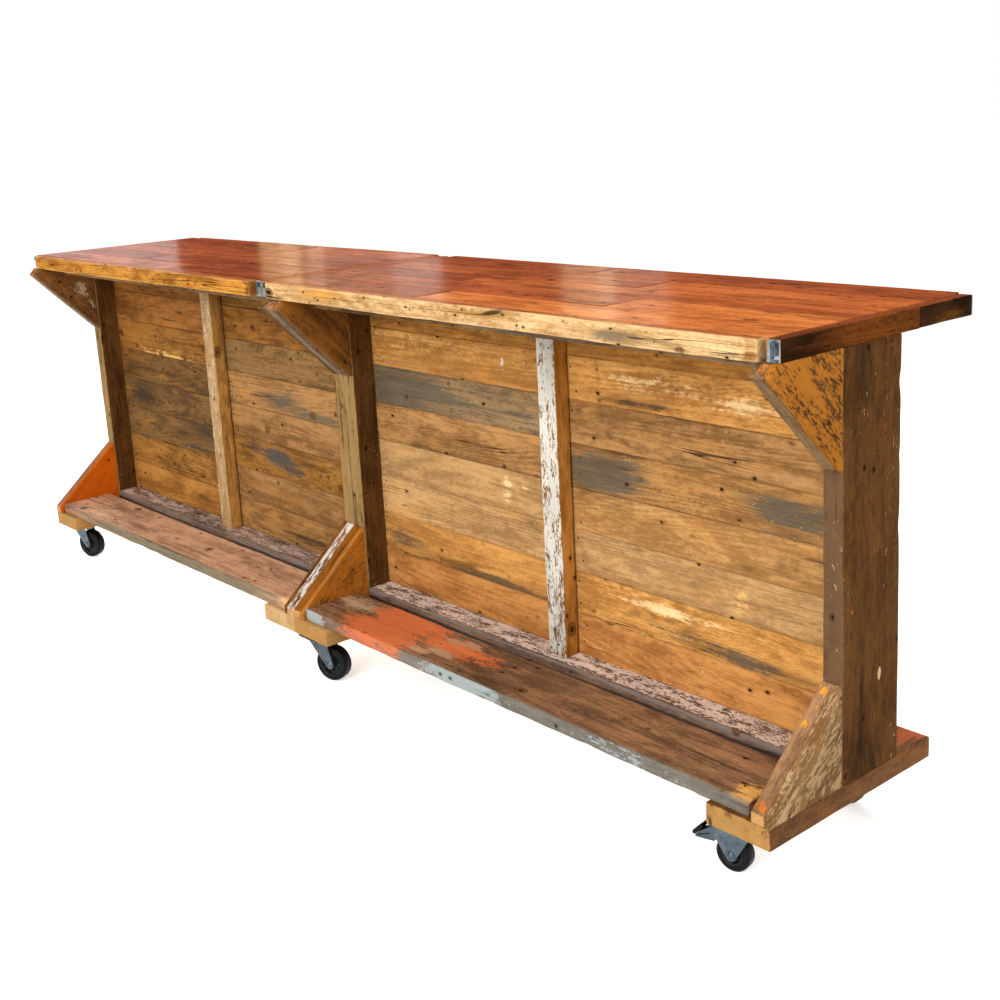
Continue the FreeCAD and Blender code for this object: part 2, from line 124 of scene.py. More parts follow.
def hue(code):
    """A linear colour from a hexadecimal sRGB code."""
    parts = [int(code[i:i + 2], 16) / 255 for i in (1, 3, 5)]
    linear = [p / 12.92 if p <= 0.04045 else ((p + 0.055) / 1.055) ** 2.4 for p in parts]
    return (*linear, 1.0)


def stored(name, out="Color"):
    """A value kept on the mesh's own points."""
    return Field.node("ShaderNodeAttribute", {"attribute_name": name}, out=out)


def stretched(vector, amounts):
    """A vector multiplied axis by axis, for a pattern that repeats amounts times per metre."""
    return Field.node("ShaderNodeVectorMath", {"operation": "MULTIPLY"}, {0: vector, 1: amounts})


def noise(vector, amounts, detail=3.0, rough=0.55, twist=0.0):
    """Cloudy noise about 0.5, with its pattern repeated amounts times per metre."""
    return Field.node("ShaderNodeTexNoise", None,
                      {"Vector": stretched(vector, amounts), "Scale": 1.0, "Detail": detail,
                       "Roughness": rough, "Distortion": twist})


def scatter(vector, amounts):
    """Distance to the nearest of many scattered points, and a random number for each of them."""
    near = Field.node("ShaderNodeTexVoronoi", None,
                      {"Vector": stretched(vector, amounts), "Scale": 1.0})
    drawn_lot = Field(near.socket.node.outputs["Color"])
    return near, Field.node("ShaderNodeSeparateColor", None, {"Color": drawn_lot})


def uneven(*weighted):
    """The sum of several noises, each taken about 0 and multiplied by its weight."""
    first, *others = [(value - 0.5) * weight for value, weight in weighted]
    return sum(others, first)


def lay(under, over, share, blend="MIX"):
    """One colour laid over another by a share from 0 to 1."""
    return Field.node("ShaderNodeMix", {"data_type": "RGBA", "blend_type": blend},
                      {0: share, 6: under, 7: over}, out=2)


def dim(colour, share):
    """A colour multiplied by a number."""
    share = share if isinstance(share, Field) else (share, share, share, 1.0)
    return lay(colour, share, 1.0, "MULTIPLY")


def bump(height, strength, depth):
    """A surface normal that follows a height from 0 to 1, depth metres deep."""
    return Field.node("ShaderNodeBump", None,
                      {"Height": height, "Strength": strength, "Distance": depth})


def new_material(name):
    """An empty material with its shader; Fields made next belong to it."""
    material = bpy.data.materials.new(name)
    material.use_nodes = True
    Field.tree = material.node_tree
    return material, material.node_tree.nodes["Principled BSDF"]


def timber(name, roughness=0.62, varnish=0.0, relief=0.0016, figure=1.0, holes=0.3,
           hole_grid=(22, 32, 32), scuffs=0.3, resin=0.5, specular=0.3, flakes=1.0, dirt=0.85,
           splits=0.53):
    """Old wood: clouds and fibres along the grain, with the marks of its age laid over them.

    tone and shade are a board's light and dark wood, wash its leftover paint and stain what has
    soaked in. On a few boards tone and shade also hold painted light and painted shade, and on the
    sills' fronts stain holds a painted shadow. Their alphas say how grey the board is, how worn
    (or, below 0, how dirty) its arrises are, and how much paint and stain there is.
    """
    material, shader = new_material(name)
    grain = stored("grain", "Vector")
    tone, shade = stored("tone"), stored("shade")

    def figured(along, across, *finer):
        """Noise repeated some times per metre along the grain and some times across it."""
        return noise(grain, (along, across, across), *finer)

    # Light and dark wood by clouds, streaks and fibres
    cloud = figured(3.2, 9, 6, 0.66, 0.6)
    mottle = figured(13, 34, 5, 0.7, 0.5)
    bands = figured(0.9, 24, 3, 0.6, 0.6)
    streak = figured(2.5, 90, 4, 0.65)
    fibre = figured(8, 420, 3, 0.6)
    grit = figured(60, 170, 4, 0.78)
    rings = (figured(0.55, 6, 2, 0.45, 0.25) * 240).math("SINE", 0.0)
    body = uneven((cloud, 1.5), (mottle, 0.9), (grit, 1.0), (fibre, 0.4))
    body = body + (uneven((bands, 0.7), (streak, 0.55)) + rings * 0.08) * figure
    wood = lay(shade, tone, body.rise(-0.36, 0.34))
    # Glowing resin, soil and dark flecks
    glow = figured(5, 15, 5, 0.65, 0.4)
    wood = lay(wood, lay(tone, hue("#d88a2a"), 0.6), glow.rise(0.53, 0.72) * resin)
    soil = figured(2.6, 13, 7, 0.74, 0.5)
    wood = lay(wood, dim(shade, 0.45), soil.rise(0.52, 0.7) * dirt)
    fleck = figured(60, 210, 2, 0.6).rise(0.64, 0.72) * mottle.rise(0.42, 0.62)
    wood = lay(wood, dim(shade, 0.35), fleck * 0.6)
    # Weathering to grey, and stains that follow the grain; on the sills' fronts the stain is a
    # painted shadow
    ash = lay(hue("#47433d"), hue("#968d80"), (streak * 0.7 + fibre * 0.5).rise(0.4, 0.8))
    grey = figured(1.6, 13, 6, 0.68) * 1.9 + (streak - 0.5) * 0.5 - 0.45
    grey = (grey + stored("tone", "Alpha")).rise(0.78, 1.25)
    wood = lay(wood, ash, grey * 0.8)
    soak_and_shade = uneven((cloud, 2.2), (mottle, 2.0), (bands, 3.0), (streak, 2.4), (grit, 1.8))
    soak_and_shade = (stored("stain", "Alpha") * 1.3 + soak_and_shade).rise(0.2, 1.0)
    wood = lay(wood, dim(stored("stain"), 1.0 + body * 0.6), soak_and_shade * 0.9)
    # Knots: a brown halo, a dark heart and one dark ring
    knot, lot = scatter(grain, (6.5, 9, 9))
    knot = knot + (mottle - 0.5) * 0.06
    chosen = lot.rise(0.45, 0.5)
    wood = lay(wood, hue("#6a3c15"), knot.rise(0.16, 0.08) * chosen * 0.65)
    wood = lay(wood, hue("#26140a"), knot.rise(0.07, 0.045) * chosen * 0.85)
    ring = knot - 0.105
    wood = lay(wood, hue("#3a200e"), (ring * ring).rise(0.0002, 0.00003) * chosen * 0.6)
    # Drying splits along the grain, kept off the sawn ends
    line = figured(0.9, 34, 2, 0.5, 0.3) - 0.5
    check = (line * line).rise(0.00005, 0.00001) * figured(1.7, 5, 2).rise(splits, splits + 0.09)
    check = check * (1.0 - stored("end", "Fac"))
    wood = lay(wood, hue("#20130a"), check * 0.85)
    # Arrises rubbed pale, or full of grime
    edge, wear = stored("edge", "Fac"), stored("shade", "Alpha")
    rub = edge * (0.35 + figured(16, 30, 4, 0.7)) * wear
    wood = lay(wood, lay(tone, hue("#f0c98c"), 0.4), rub.rise(0.3, 0.8) * 0.8)
    grime = edge * (0.2 + mottle * 1.3) * (0 - wear)
    wood = lay(wood, hue("#2b1a0d"), grime.rise(0.15, 0.8) * 0.7)
    # Scrapes at a slant to the grain
    slanted = Field.node("ShaderNodeVectorRotate", {"rotation_type": "AXIS_ANGLE"},
                         {"Vector": grain, "Axis": (0.0, 0.7, 0.7), "Angle": 0.55})
    scrape = noise(slanted, (7, 190, 190), 2, 0.5).rise(0.66, 0.74)
    scrape = scrape * figured(4, 9, 3).rise(0.5, 0.66)
    wood = lay(wood, lay(tone, hue("#efd9b0"), 0.55), scrape * scuffs)
    # Old paint that is flaking off
    broad = figured(flakes * 9, flakes * 30, 5, 0.7)
    fine = figured(flakes * 45, flakes * 140, 4, 0.7)
    flake = uneven((broad, 1.1), (fine, 1.3), (mottle, 0.5), (streak, 0.3))
    paint = (flake + stored("wash", "Alpha")).rise(0.46, 0.53)
    coat = dim(stored("wash"), 0.94 + (cloud - 0.5) * 0.9 + (fibre - 0.5) * 0.2)
    wood = lay(wood, coat, paint * 0.94)
    # Old nail holes, each with a dark rim
    hole, drawn = scatter(grain, hole_grid)
    pierced = drawn.rise(1.0 - holes, 1.02 - holes)
    wood = lay(wood, dim(shade, 0.35), hole.rise(0.3, 0.1) * pierced * 0.5)
    pit = hole.rise(0.13, 0.085) * pierced
    wood = lay(wood, hue("#170d07"), pit * 0.95)
    height = fibre * 0.35 + streak * 0.5 + grit * 0.5 + mottle * 0.3
    height = height - check * 1.2 - pit * 1.5 + paint * 0.3
    feed(shader, {"Base Color": wood, "Normal": bump(height, 0.8, relief),
                  "Roughness": roughness + (fibre - 0.5) * 0.25 + grey * 0.12 - soak_and_shade * 0.05,
                  "Specular IOR Level": specular, "Coat Roughness": 0.16})
    if varnish:
        feed(shader, {"Coat Weight": varnish * (0.6 + cloud * 0.8) * (1.0 - pit)})
    return material


def worn_stick(outline, ends, seed, arris=0.0022, chip=0.004, step=0.018, warp=0.0005,
               softness=0.007, rings=0, columns=3):
    """A convex outline carried along its length, with worn arrises.

    Each corner is the outline moved in by a radius, plus that radius along the turning normal;
    the radius wavers along the stick and grows at chips, each a bell curve. The ends close
    through rounded rings, and then through more rings that shrink towards the middle where an
    end is a face to be looked at. Gives points (rows, around, 3) as (along, first, second), each
    point's nearness to an arris, and 1 at the ends.
    """
    chips_per_metre = 7
    sharpest, bluntest = 0.0004, 0.4
    rng = np.random.default_rng(seed)
    outline = np.asarray(outline, float)
    following = np.roll(outline, -1, 0)
    area = np.sum(outline[:, 0] * following[:, 1] - following[:, 0] * outline[:, 1])
    outline = outline if area > 0 else outline[::-1]
    edges = np.roll(outline, -1, 0) - outline
    sides = np.linalg.norm(edges, axis=1)
    normals = np.stack([edges[:, 1], -edges[:, 0]], 1) / sides[:, None]
    before = np.roll(normals, 1, 0)
    arms = (normals + before) / (1 + np.sum(normals * before, 1))[:, None]
    reach = np.min(np.sum(normals * (outline - outline.mean(0)), 1))
    # Places along the stick, and how far the outline moves in at each
    length = ends[1] - ends[0]
    turn = np.linspace(0, math.pi / 2, 4)
    lead = arris * (1 - np.cos(turn))
    cap = np.minimum(np.array([0.55, 0.3]) * (reach - arris), (0.005, 0.0025)) + arris
    middle = np.linspace(arris, length - arris, max(4, int(length / step)))[1:-1]
    along = np.concatenate([[0, 0], lead, middle, length - lead[::-1], [length, length]])
    rounding = arris * (1 - np.sin(turn))
    inset = np.concatenate([cap, rounding, 0 * middle, rounding[::-1], cap[::-1]])
    # The radius of each arris, with its waves and chips
    corner_count = len(outline)
    station = along[None, :, None]
    waves = rng.uniform(4, 60, (5, 1, 1)) * station + rng.uniform(0, 6.3, (5, 1, corner_count))
    radius = arris * (1 + 0.25 * np.sin(waves).sum(0) / 2)
    chip_shape = (max(1, int(length * chips_per_metre)), 1, corner_count)
    spots = rng.uniform(0, length, chip_shape)
    widths = rng.uniform(0.004, 0.03, chip_shape)
    sizes = chip * rng.uniform(0, 1, chip_shape) ** 4
    radius = radius + (sizes * np.exp(-((station - spots) / widths) ** 2)).sum(0)
    radius = np.clip(radius, sharpest, bluntest * reach)
    # The flat sides, and the arcs between them
    inner = outline[None] - inset[:, None, None] * arms[None] - radius[..., None] * arms[None]
    by_arris = np.minimum(0.005 / sides, 0.18)
    off_arris = np.minimum(0.016 / sides, 0.2)
    share = np.concatenate([np.stack([0 * by_arris, by_arris], 1),
                            np.linspace(off_arris, 1 - off_arris, columns + 2, axis=1),
                            np.stack([1 - by_arris, 0 * by_arris + 1], 1)], 1)
    next_inner = np.roll(inner, -1, 1)
    next_radius = np.roll(radius, -1, 1)
    flat = (inner[:, :, None] * (1 - share)[None, :, :, None]
            + next_inner[:, :, None] * share[None, :, :, None])
    lift = radius[:, :, None] * (1 - share)[None] + next_radius[:, :, None] * share[None]
    flat = flat + lift[..., None] * normals[None, :, None, :]
    after = np.roll(normals, -1, 0)
    arcs = []
    for weight in (1 / 3, 2 / 3):
        way = normals * (1 - weight) + after * weight
        way = way / np.linalg.norm(way, axis=1)[:, None]
        arcs.append(next_inner + next_radius[..., None] * way[None])
    ring = np.concatenate([flat, np.stack(arcs, 2)], 2).reshape(len(along), -1, 2)
    stations = np.broadcast_to((ends[0] + along)[:, None, None], ring.shape[:2] + (1,))
    points = np.concatenate([stations, ring], 2)
    # Nearness to an arris, a slight warp, and the end faces
    corner_gap = np.minimum(share, 1 - share) * sides[:, None]
    corner_gap = np.concatenate([corner_gap, np.zeros((len(sides), 2))], 1)
    end_gap = np.maximum(np.minimum(along, length - along), inset - arris)
    edge = np.maximum(np.exp(-corner_gap.reshape(1, -1) / softness),
                      np.exp(-end_gap[:, None] / softness))
    edge[[0, -1]] = 0
    pull = rng.uniform(-1, 1, (4, 3, 3)) * np.array([9.0, 30.0, 30.0])
    phase = rng.uniform(0, 6.3, (4, 3))
    sway = np.sin(np.einsum("rcj,kij->rcki", points, pull) + phase).sum(2)
    points = points + warp * sway * 0.5
    shrink = np.linspace(0, 0.95, rings + 1)[1:, None, None]
    fills = [ring + (ring.mean(0) - ring) * shrink for ring in (points[0], points[-1])]
    ended = (np.minimum(along, length - along) <= 0)[:, None] * np.ones(edge.shape)
    more_rows = ((rings, rings), (0, 0))
    return (np.concatenate([fills[0][::-1], points, fills[1]]), np.pad(edge, more_rows),
            np.pad(ended, more_rows, constant_values=1))


def tube_faces(rows, around, flipped=False):
    """Quads round a tube of points and a cap at each end: corner numbers, corners per face."""
    cells = np.arange(rows * around).reshape(rows, around)
    after = np.roll(cells, -1, 1)
    faces = np.stack([cells[:-1], after[:-1], after[1:], cells[1:]], 2).reshape(-1, 4)
    caps = [cells[0][::-1], cells[-1]]
    if flipped:
        faces = faces[:, ::-1]
        caps = [cap[::-1] for cap in caps]
    return np.concatenate([faces.reshape(-1)] + caps), np.array([4] * len(faces) + [around] * 2)


def joined(parts):
    """Several lots of points, corner numbers and corners per face as one."""
    points, corners, totals = zip(*parts)
    starts = np.cumsum([0] + [len(lot) for lot in points])
    corners = [lot + start for lot, start in zip(corners, starts)]
    return np.concatenate(points), np.concatenate(corners), np.concatenate(totals)


Finish = namedtuple("Finish", "tone shade grey wear wash cover stain amount",
                    defaults=(0.0, 0.4, "#c9bfae", -1.0, "#4b4436", -1.0))
Spot = namedtuple("Spot", "place reach colour strength", defaults=(1.0,))
Stick = namedtuple("Stick", "outline ends axis finish run options", defaults=(None, {}))


def box_stick(low, high, axis, finish, **options):
    """A sawn board between two corners, with its grain along one axis."""
    first, second = [i for i in range(3) if i != axis]
    outline = [(low[first], low[second]), (high[first], low[second]),
               (high[first], high[second]), (low[first], high[second])]
    return Stick(outline, (low[axis], high[axis]), axis, finish, None, options)


def cut_stick(box, x0, x1, axis, finish, **options):
    """A sawn board that fills a box from one x to another, with its grain along one axis."""
    low, high = box
    return box_stick((x0, low.y, low.z), (x1, high.y, high.z), axis, finish, **options)


def spread(place, spots, colour, amount):
    """Colour and amount at each point: the board's own, and a spot's near it by a bell curve."""
    faint = 1e-4
    mixed = np.zeros((len(place), 4)) + np.array(hue(colour)) * faint
    total = np.full(len(place), faint)
    most = np.full(len(place), float(amount))
    for spot in spots:
        bell = np.exp(-(((place - np.array(spot.place)) / np.array(spot.reach)) ** 2).sum(1))
        weight = (bell * spot.strength) ** 4
        mixed += weight[:, None] * np.array(hue(spot.colour))
        total += weight
        level = amount + (spot.strength - amount) * bell
        most = np.minimum(most, level) if spot.strength < amount else np.maximum(most, level)
    mixed /= total[:, None]
    mixed[:, 3] = most
    return mixed


vector_mark, number_mark, colour_mark = [("FLOAT_VECTOR", "vector"), ("FLOAT", "value"),
                                         ("FLOAT_COLOR", "color")]
mark_kinds = {"grain": vector_mark, "edge": number_mark, "end": number_mark, "tone": colour_mark,
              "shade": colour_mark, "wash": colour_mark, "stain": colour_mark}


def timber_piece(name, sticks, material, slot, nodes=(), seed=0):
    """One mesh of several worn sticks, each with its own grain and finish kept on its points."""
    seeds_apart, grain_seed = 97, 5000
    log_length, tone_drift = 40, 0.06
    parts = []
    marks = {key: [] for key in mark_kinds}
    for index, stick in enumerate(sticks):
        number = seed * seeds_apart + index
        options = dict(stick.options)
        painted, stain_and_shade_spots = options.pop("paint", ()), options.pop("stains", ())
        grid, edge, ended = worn_stick(stick.outline, stick.ends, number, **options)
        order = [stick.axis] + [i for i in range(3) if i != stick.axis]
        place = np.empty((grid.shape[0] * grid.shape[1], 3))
        place[:, order] = grid.reshape(-1, 3)
        place = np.clip(place, *np.array(cad_box))
        parts.append((place, *tube_faces(*grid.shape[:2], stick.axis == 1)))
        axes = np.eye(3)
        if stick.run is None:
            run = axes[stick.axis]
            side = axes[order[1]] - run * run[order[1]]
        else:
            run, side = np.asarray(stick.run, float), axes[stick.axis]
        rng = np.random.default_rng(number + grain_seed)
        grain = np.stack([place @ run, place @ side, place @ np.cross(run, side)], 1)
        grain = grain + rng.uniform(0, log_length, 3)
        tone, shade = np.array(hue(stick.finish.tone)), np.array(hue(stick.finish.shade))
        tone[3], shade[3] = stick.finish.grey, stick.finish.wear
        tone[:3] *= 1 + tone_drift * rng.uniform(-1, 1)
        every = np.ones((len(place), 1))
        wash = spread(place, painted, stick.finish.wash, stick.finish.cover)
        stain = spread(place, stain_and_shade_spots, stick.finish.stain, stick.finish.amount)
        values = (grain, edge.reshape(-1), ended.reshape(-1), every * tone, every * shade, wash,
                  stain)
        for key, value in zip(mark_kinds, values):
            marks[key].append(value)
    piece = mesh_piece(name, *joined(parts), material)
    for key, (kind, field) in mark_kinds.items():
        layer = piece.data.attributes.new(key, kind, "POINT")
        layer.data.foreach_set(field, np.concatenate(marks[key]).astype(np.float32).reshape(-1))
    return ridden(piece, "bar", slot, nodes)


def ridden(piece, body, slot, nodes=()):
    """Let a piece ride on a body in place of the nodes it stands for; the slot is not used."""
    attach(piece, body)
    if nodes:
        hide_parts(*nodes)
    return piece


def mesh_piece(name, points, loops, totals, material):
    """A smooth-shaded mesh object at the origin from its points and the corners of its faces."""
    mesh = bpy.data.meshes.new(name)
    mesh.vertices.add(len(points))
    mesh.vertices.foreach_set("co", np.asarray(points, np.float32).reshape(-1))
    mesh.loops.add(len(loops))
    mesh.loops.foreach_set("vertex_index", np.asarray(loops, np.int32))
    mesh.polygons.add(len(totals))
    starts = np.concatenate([[0], np.cumsum(totals)[:-1]])
    mesh.polygons.foreach_set("loop_start", starts.astype(np.int32))
    mesh.polygons.foreach_set("use_smooth", np.ones(len(totals), bool))
    mesh.update(calc_edges=True)
    mesh.validate()
    mesh.materials.append(material)
    piece = bpy.data.objects.new(name, mesh)
    bpy.context.scene.collection.objects.link(piece)
    return piece


foot_width = 0.154
far = 9.0  # the reach of a spot along an axis on which it doesn't fade
sawn_pine = timber("sawn_pine", 0.6, figure=0.7, holes=0.12, scuffs=0.2, resin=0.15,
                   specular=0.08, dirt=0.2)
golden_pine = Finish("#ae8148", "#98703a", -0.5, 0.3)
pale_pine = Finish("#c4a06c", "#ac8754", -0.5, 0.3)
stained_pine = Finish("#70461f", "#462a12", -0.1, 0.4)
foot_sticks = []
for node, away in (("left_foot_beams", pale_pine), ("right_foot_beams", stained_pine)):
    low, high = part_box(node)
    foot_sticks.append(cut_stick((low, high), low.x, low.x + foot_width, 1, golden_pine))
    fresh_end = Spot((0, low.y, 0), (far, 0.0016, far), "#9f7740")
    rear_red = Spot((high.x, high.y, high.z), (0.2, 0.1, 0.01), "#a04e22", 0.75)
    marks = (fresh_end, rear_red) if away is stained_pine else ()
    foot_sticks.append(cut_stick((low, high), high.x - foot_width, high.x, 1, away, stains=marks))
timber_piece("foot_beams", foot_sticks, sawn_pine, "foot_wood",
             ("left_foot_beams", "right_foot_beams"), 1)

# Posts
# Four old planks stood on end, edge to the front, nailed down to the feet.
# Their broad sides are dark brown, and their front edges are weathered and pitted.
post_thickness = 0.045
right_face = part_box("right_posts")[1].x
old_wood = timber("old_wood", 0.7, relief=0.002, figure=0.7, holes=0.3, scuffs=0.6, resin=0.1,
                  specular=0.03)
dark_plank = Finish("#5b3a1a", "#402710", -0.3, 0.25)
shaded_plank = Finish("#5f3d1b", "#3c2610", -0.1, 0.3)
raw_wood = "#a9733f"
post_chips = [Spot((right_face, y, z), (0.002, wide, tall), code, strength)
              for y, z, wide, tall, code, strength in (
                  (0.009, 0.369, 0.013, 0.034, "#cfa377", 0.72),
                  (-0.078, 0.52, 0.01, 0.02, raw_wood, 0.6),
                  (-0.017, 0.313, 0.008, 0.016, raw_wood, 0.6),
                  (0.023, 0.546, 0.008, 0.02, "#b58552", 0.6),
                  (0.05, 0.83, 0.009, 0.05, raw_wood, 0.55),
                  (-0.05, 0.9, 0.02, 0.04, raw_wood, 0.5))]
post_sticks = []
for node in ("left_posts", "right_posts"):
    low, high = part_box(node)
    for x0, finish in ((low.x, shaded_plank), (high.x - post_thickness, dark_plank)):
        at_right_end = x0 > 1
        grey_front = Spot((x0, low.y, 0), (far, 0.004, far),
                          "#604731" if at_right_end else "#8f7146", 0.9)
        chipped = {"paint": post_chips, "columns": 28, "step": 0.006} if at_right_end else {}
        post_sticks.append(cut_stick((low, high), x0, x0 + post_thickness, 2, finish,
                                     chip=0.008, stains=(grey_front,), **chipped))
timber_piece("posts", post_sticks, old_wood, "frame_wood", ("left_posts", "right_posts"), 2)

# Gussets
# At the foot and the head of each post, a triangular plate with a diagonal batten at its side.
# They are nailed offcuts, so each has its own colour: bare, stained or with old paint flaking off.
batten_depth = 0.031
plate_thickness = 0.014
post_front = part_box("right_posts")[0].y
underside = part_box("right_posts")[1].z
foot_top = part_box("right_posts")[0].z
foot_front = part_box("right_foot_beams")[0].y
upper_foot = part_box("upper_gusset_plates")[0].z
lower_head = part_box("lower_gusset_plates")[1].z
upper_slope = math.radians(45)
lower_slope = math.radians(41)
tip_drop = batten_depth * math.cos(upper_slope)
tip_y = post_front - (underside - tip_drop - upper_foot) / math.tan(upper_slope)
upper_plate = [(post_front, upper_foot), (tip_y, underside - tip_drop),
               (tip_y + batten_depth * math.sin(upper_slope), underside), (post_front, underside)]
upper_heel = upper_foot + batten_depth / math.cos(upper_slope)
upper_batten = upper_plate[:3] + [(post_front, upper_heel)]
lower_tip = lower_head - (post_front - foot_front) * math.tan(lower_slope)
lower_inner = lower_head - batten_depth / math.cos(lower_slope)
heel_y = post_front - (lower_inner - foot_top) / math.tan(lower_slope)
lower_plate = [(post_front, lower_head), (foot_front, lower_tip), (foot_front, foot_top),
               (post_front, foot_top)]
lower_batten = lower_plate[:3] + [(heel_y, foot_top), (post_front, lower_inner)]
falling = (0, math.cos(upper_slope), -math.sin(upper_slope))
climbing = (0, math.cos(lower_slope), math.sin(lower_slope))
left_low, left_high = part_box("left_posts")
right_low, right_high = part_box("right_posts")
post_starts = (left_low.x, left_high.x - post_thickness,
               right_low.x, right_high.x - post_thickness)
plate_on_right = (True, False, True, True)
flecked_wood = timber("flecked_wood", 0.65, relief=0.0018, holes=0.4, hole_grid=(28, 42, 42),
                      scuffs=0.2, resin=0.1, specular=0.04, flakes=1.7)
brown_plate = Finish("#80552a", "#4f3217", -0.2, 0.4, "#c9b48c", -0.4)
shade_plate = Finish("#85531f", "#4c2e14", -0.2, 0.4)
mottled_plate = Finish("#62401f", "#452b13", -0.2, 0.4, "#a5651f", 0.57)
grey_batten = Finish("#8a765a", "#4a3b2b", 0.35, 0.45)
split_batten = Finish("#84694a", "#463423", 0.25, 0.5)
orange_plate = Finish("#b5560e", "#823a08", -0.6, 0.3, "#bf590c", 0.74)
cream_plate = Finish("#84603a", "#5d4026", -0.1, 0.4, "#a98a64", 0.46)
speckled_plate = Finish("#865722", "#5f3b16", -0.2, 0.9, "#a8651f", 0.58)
pink_batten = Finish("#b0744a", "#7a4c30", 0.0, 0.5)
white_batten = Finish("#8f684a", "#614431", -0.1, 0.5, "#d0c2b6", 0.48)
# Dark orange-brown all over: painted shade, the batten coloured as it looks in shade
painted_shade_batten = Finish("#8a5016", "#5f350f", -0.3, 0.4)
chipped_batten = Finish("#9d7551", "#634731", 0.0, 0.4, "#e2922c", -0.4)
old_cream, old_orange = "#bfa986", "#e2922c"
cream_patch = (Spot((0, -0.165, 0.945), (far, 0.055, 0.065), old_cream, 0.58),
               Spot((0, -0.13, 0.89), (far, 0.03, 0.06), old_cream, 0.55))
orange_chips = (Spot((1.558, -0.125, 0.365), (0.016, 0.03, 0.03), old_orange, 0.66),
                Spot((1.555, -0.15, 0.345), (0.016, 0.024, 0.024), old_orange, 0.62),
                Spot((1.552, -0.179, 0.318), (0.022, 0.02, 0.02), old_orange, 0.64),
                Spot((0, -0.315, 0.2), (far, 0.03, 0.026), "#bd6527", 0.56))
brown_band = (Spot((0, -0.16, 0.98), (far, 0.04, 0.03), "#6d4a26", 0.7),)
cut_tip = Spot((0, tip_y, underside), (far, 0.028, 0.03), "#b8651c", 0.9)
fresh_foot = Spot((0, foot_front, foot_top), (far, 0.0022, far), "#b98c52")
thin_plate = {"chip": 0.003, "arris": 0.0014, "rings": 9}
gusset_sticks, batten_sticks = [], []
upper_finishes = ((brown_plate, grey_batten, cream_patch), (shade_plate, grey_batten, ()),
                  (shade_plate, split_batten, ()), (mottled_plate, split_batten, ()))
lower_finishes = ((orange_plate, pink_batten, ()), (shade_plate, white_batten, ()),
                  (speckled_plate, painted_shade_batten, ()), (cream_plate, chipped_batten, orange_chips))
for start, on_right, upper, lower in zip(post_starts, plate_on_right, upper_finishes,
                                         lower_finishes):
    end = start + post_thickness
    if on_right:
        plate_ends, batten_ends = (end - plate_thickness, end), (start, end - plate_thickness)
    else:
        plate_ends, batten_ends = (start, start + plate_thickness), (start + plate_thickness, end)
    upper_marks = {"paint": upper[2], "stains": brown_band if upper[0] is mottled_plate else ()}
    lower_marks = {"paint": lower[2], "stains": (fresh_foot,), "columns": 21, "step": 0.006}
    gusset_sticks += [Stick(upper_plate, plate_ends, 0, upper[0], falling,
                            {**thin_plate, **upper_marks}),
                      Stick(lower_plate, plate_ends, 0, lower[0], climbing, thin_plate)]
    batten_sticks += [Stick(upper_batten, batten_ends, 0, upper[1], falling,
                            {"stains": (cut_tip,)}),
                      Stick(lower_batten, batten_ends, 0, lower[1], climbing, lower_marks)]
timber_piece("gusset_plates", gusset_sticks, flecked_wood, "gusset_wood",
             ("upper_gusset_plates", "lower_gusset_plates"), 3)
timber_piece("gusset_battens", batten_sticks, old_wood, "batten_wood",
             ("upper_gusset_battens", "lower_gusset_battens"), 4)

# Wall
# Eight rows of reclaimed planks in each bay, two lengths to a row that meet behind the stud.
# They are nailed to upright cleats on the posts and stand on a heavy sill.
# No two planks have quite the same colour.
plank_rows = 8
plank_gap = 0.0001
soak_depth = 0.025
stain_overlap = 0.05
cleat_width = 0.030
stud_width = 0.058
wall_wood = timber("wall_wood", 0.65, relief=0.0016, holes=0.22, scuffs=0.45, resin=0.3,
                   specular=0.04)
grimy = -0.45
amber = Finish("#c08640", "#8c5b2a", -0.15, grimy)
bright_amber = Finish("#cf954f", "#976632", -0.2, grimy)
orange = Finish("#c78a4c", "#955f30", -0.3, grimy)
honey = Finish("#bb8c55", "#8d6438", -0.1, grimy)
tan = Finish("#bd935f", "#8f6b43", -0.1, grimy)
fawn = Finish("#a97c4b", "#76522d", -0.05, grimy)
umber = Finish("#a67335", "#6d4820", -0.1, grimy)
russet = Finish("#a66c33", "#70451d", -0.15, grimy)
smoked = Finish("#876238", "#553b1f", 0.0, grimy, amount=-0.1)
dusky = Finish("#967852", "#645039", 0.0, grimy, amount=-0.1)
drab = Finish("#b08049", "#7a552f", -0.05, grimy)
tawny = Finish("#9b672d", "#66411b", -0.1, grimy)
tobacco = Finish("#916b3f", "#5e4425", 0.0, grimy, amount=-0.1)
sooty = Finish("#7c572e", "#4d351a", 0.0, grimy, amount=-0.05)
plank_finishes = {
    "left": ((amber, drab), (umber, fawn), (smoked, umber), (smoked, fawn),
             (sooty, fawn), (tawny, tobacco), (russet, tawny), (russet, umber)),
    "right": ((orange, orange), (bright_amber, bright_amber), (tan, tan), (tan, honey),
              (fawn, drab), (dusky, fawn), (bright_amber, bright_amber), (amber, amber)),
}
slate, soot, cream, straw, ink = "#524a3c", "#3a2f23", "#dcbc88", "#d0a05a", "#3f3f3d"
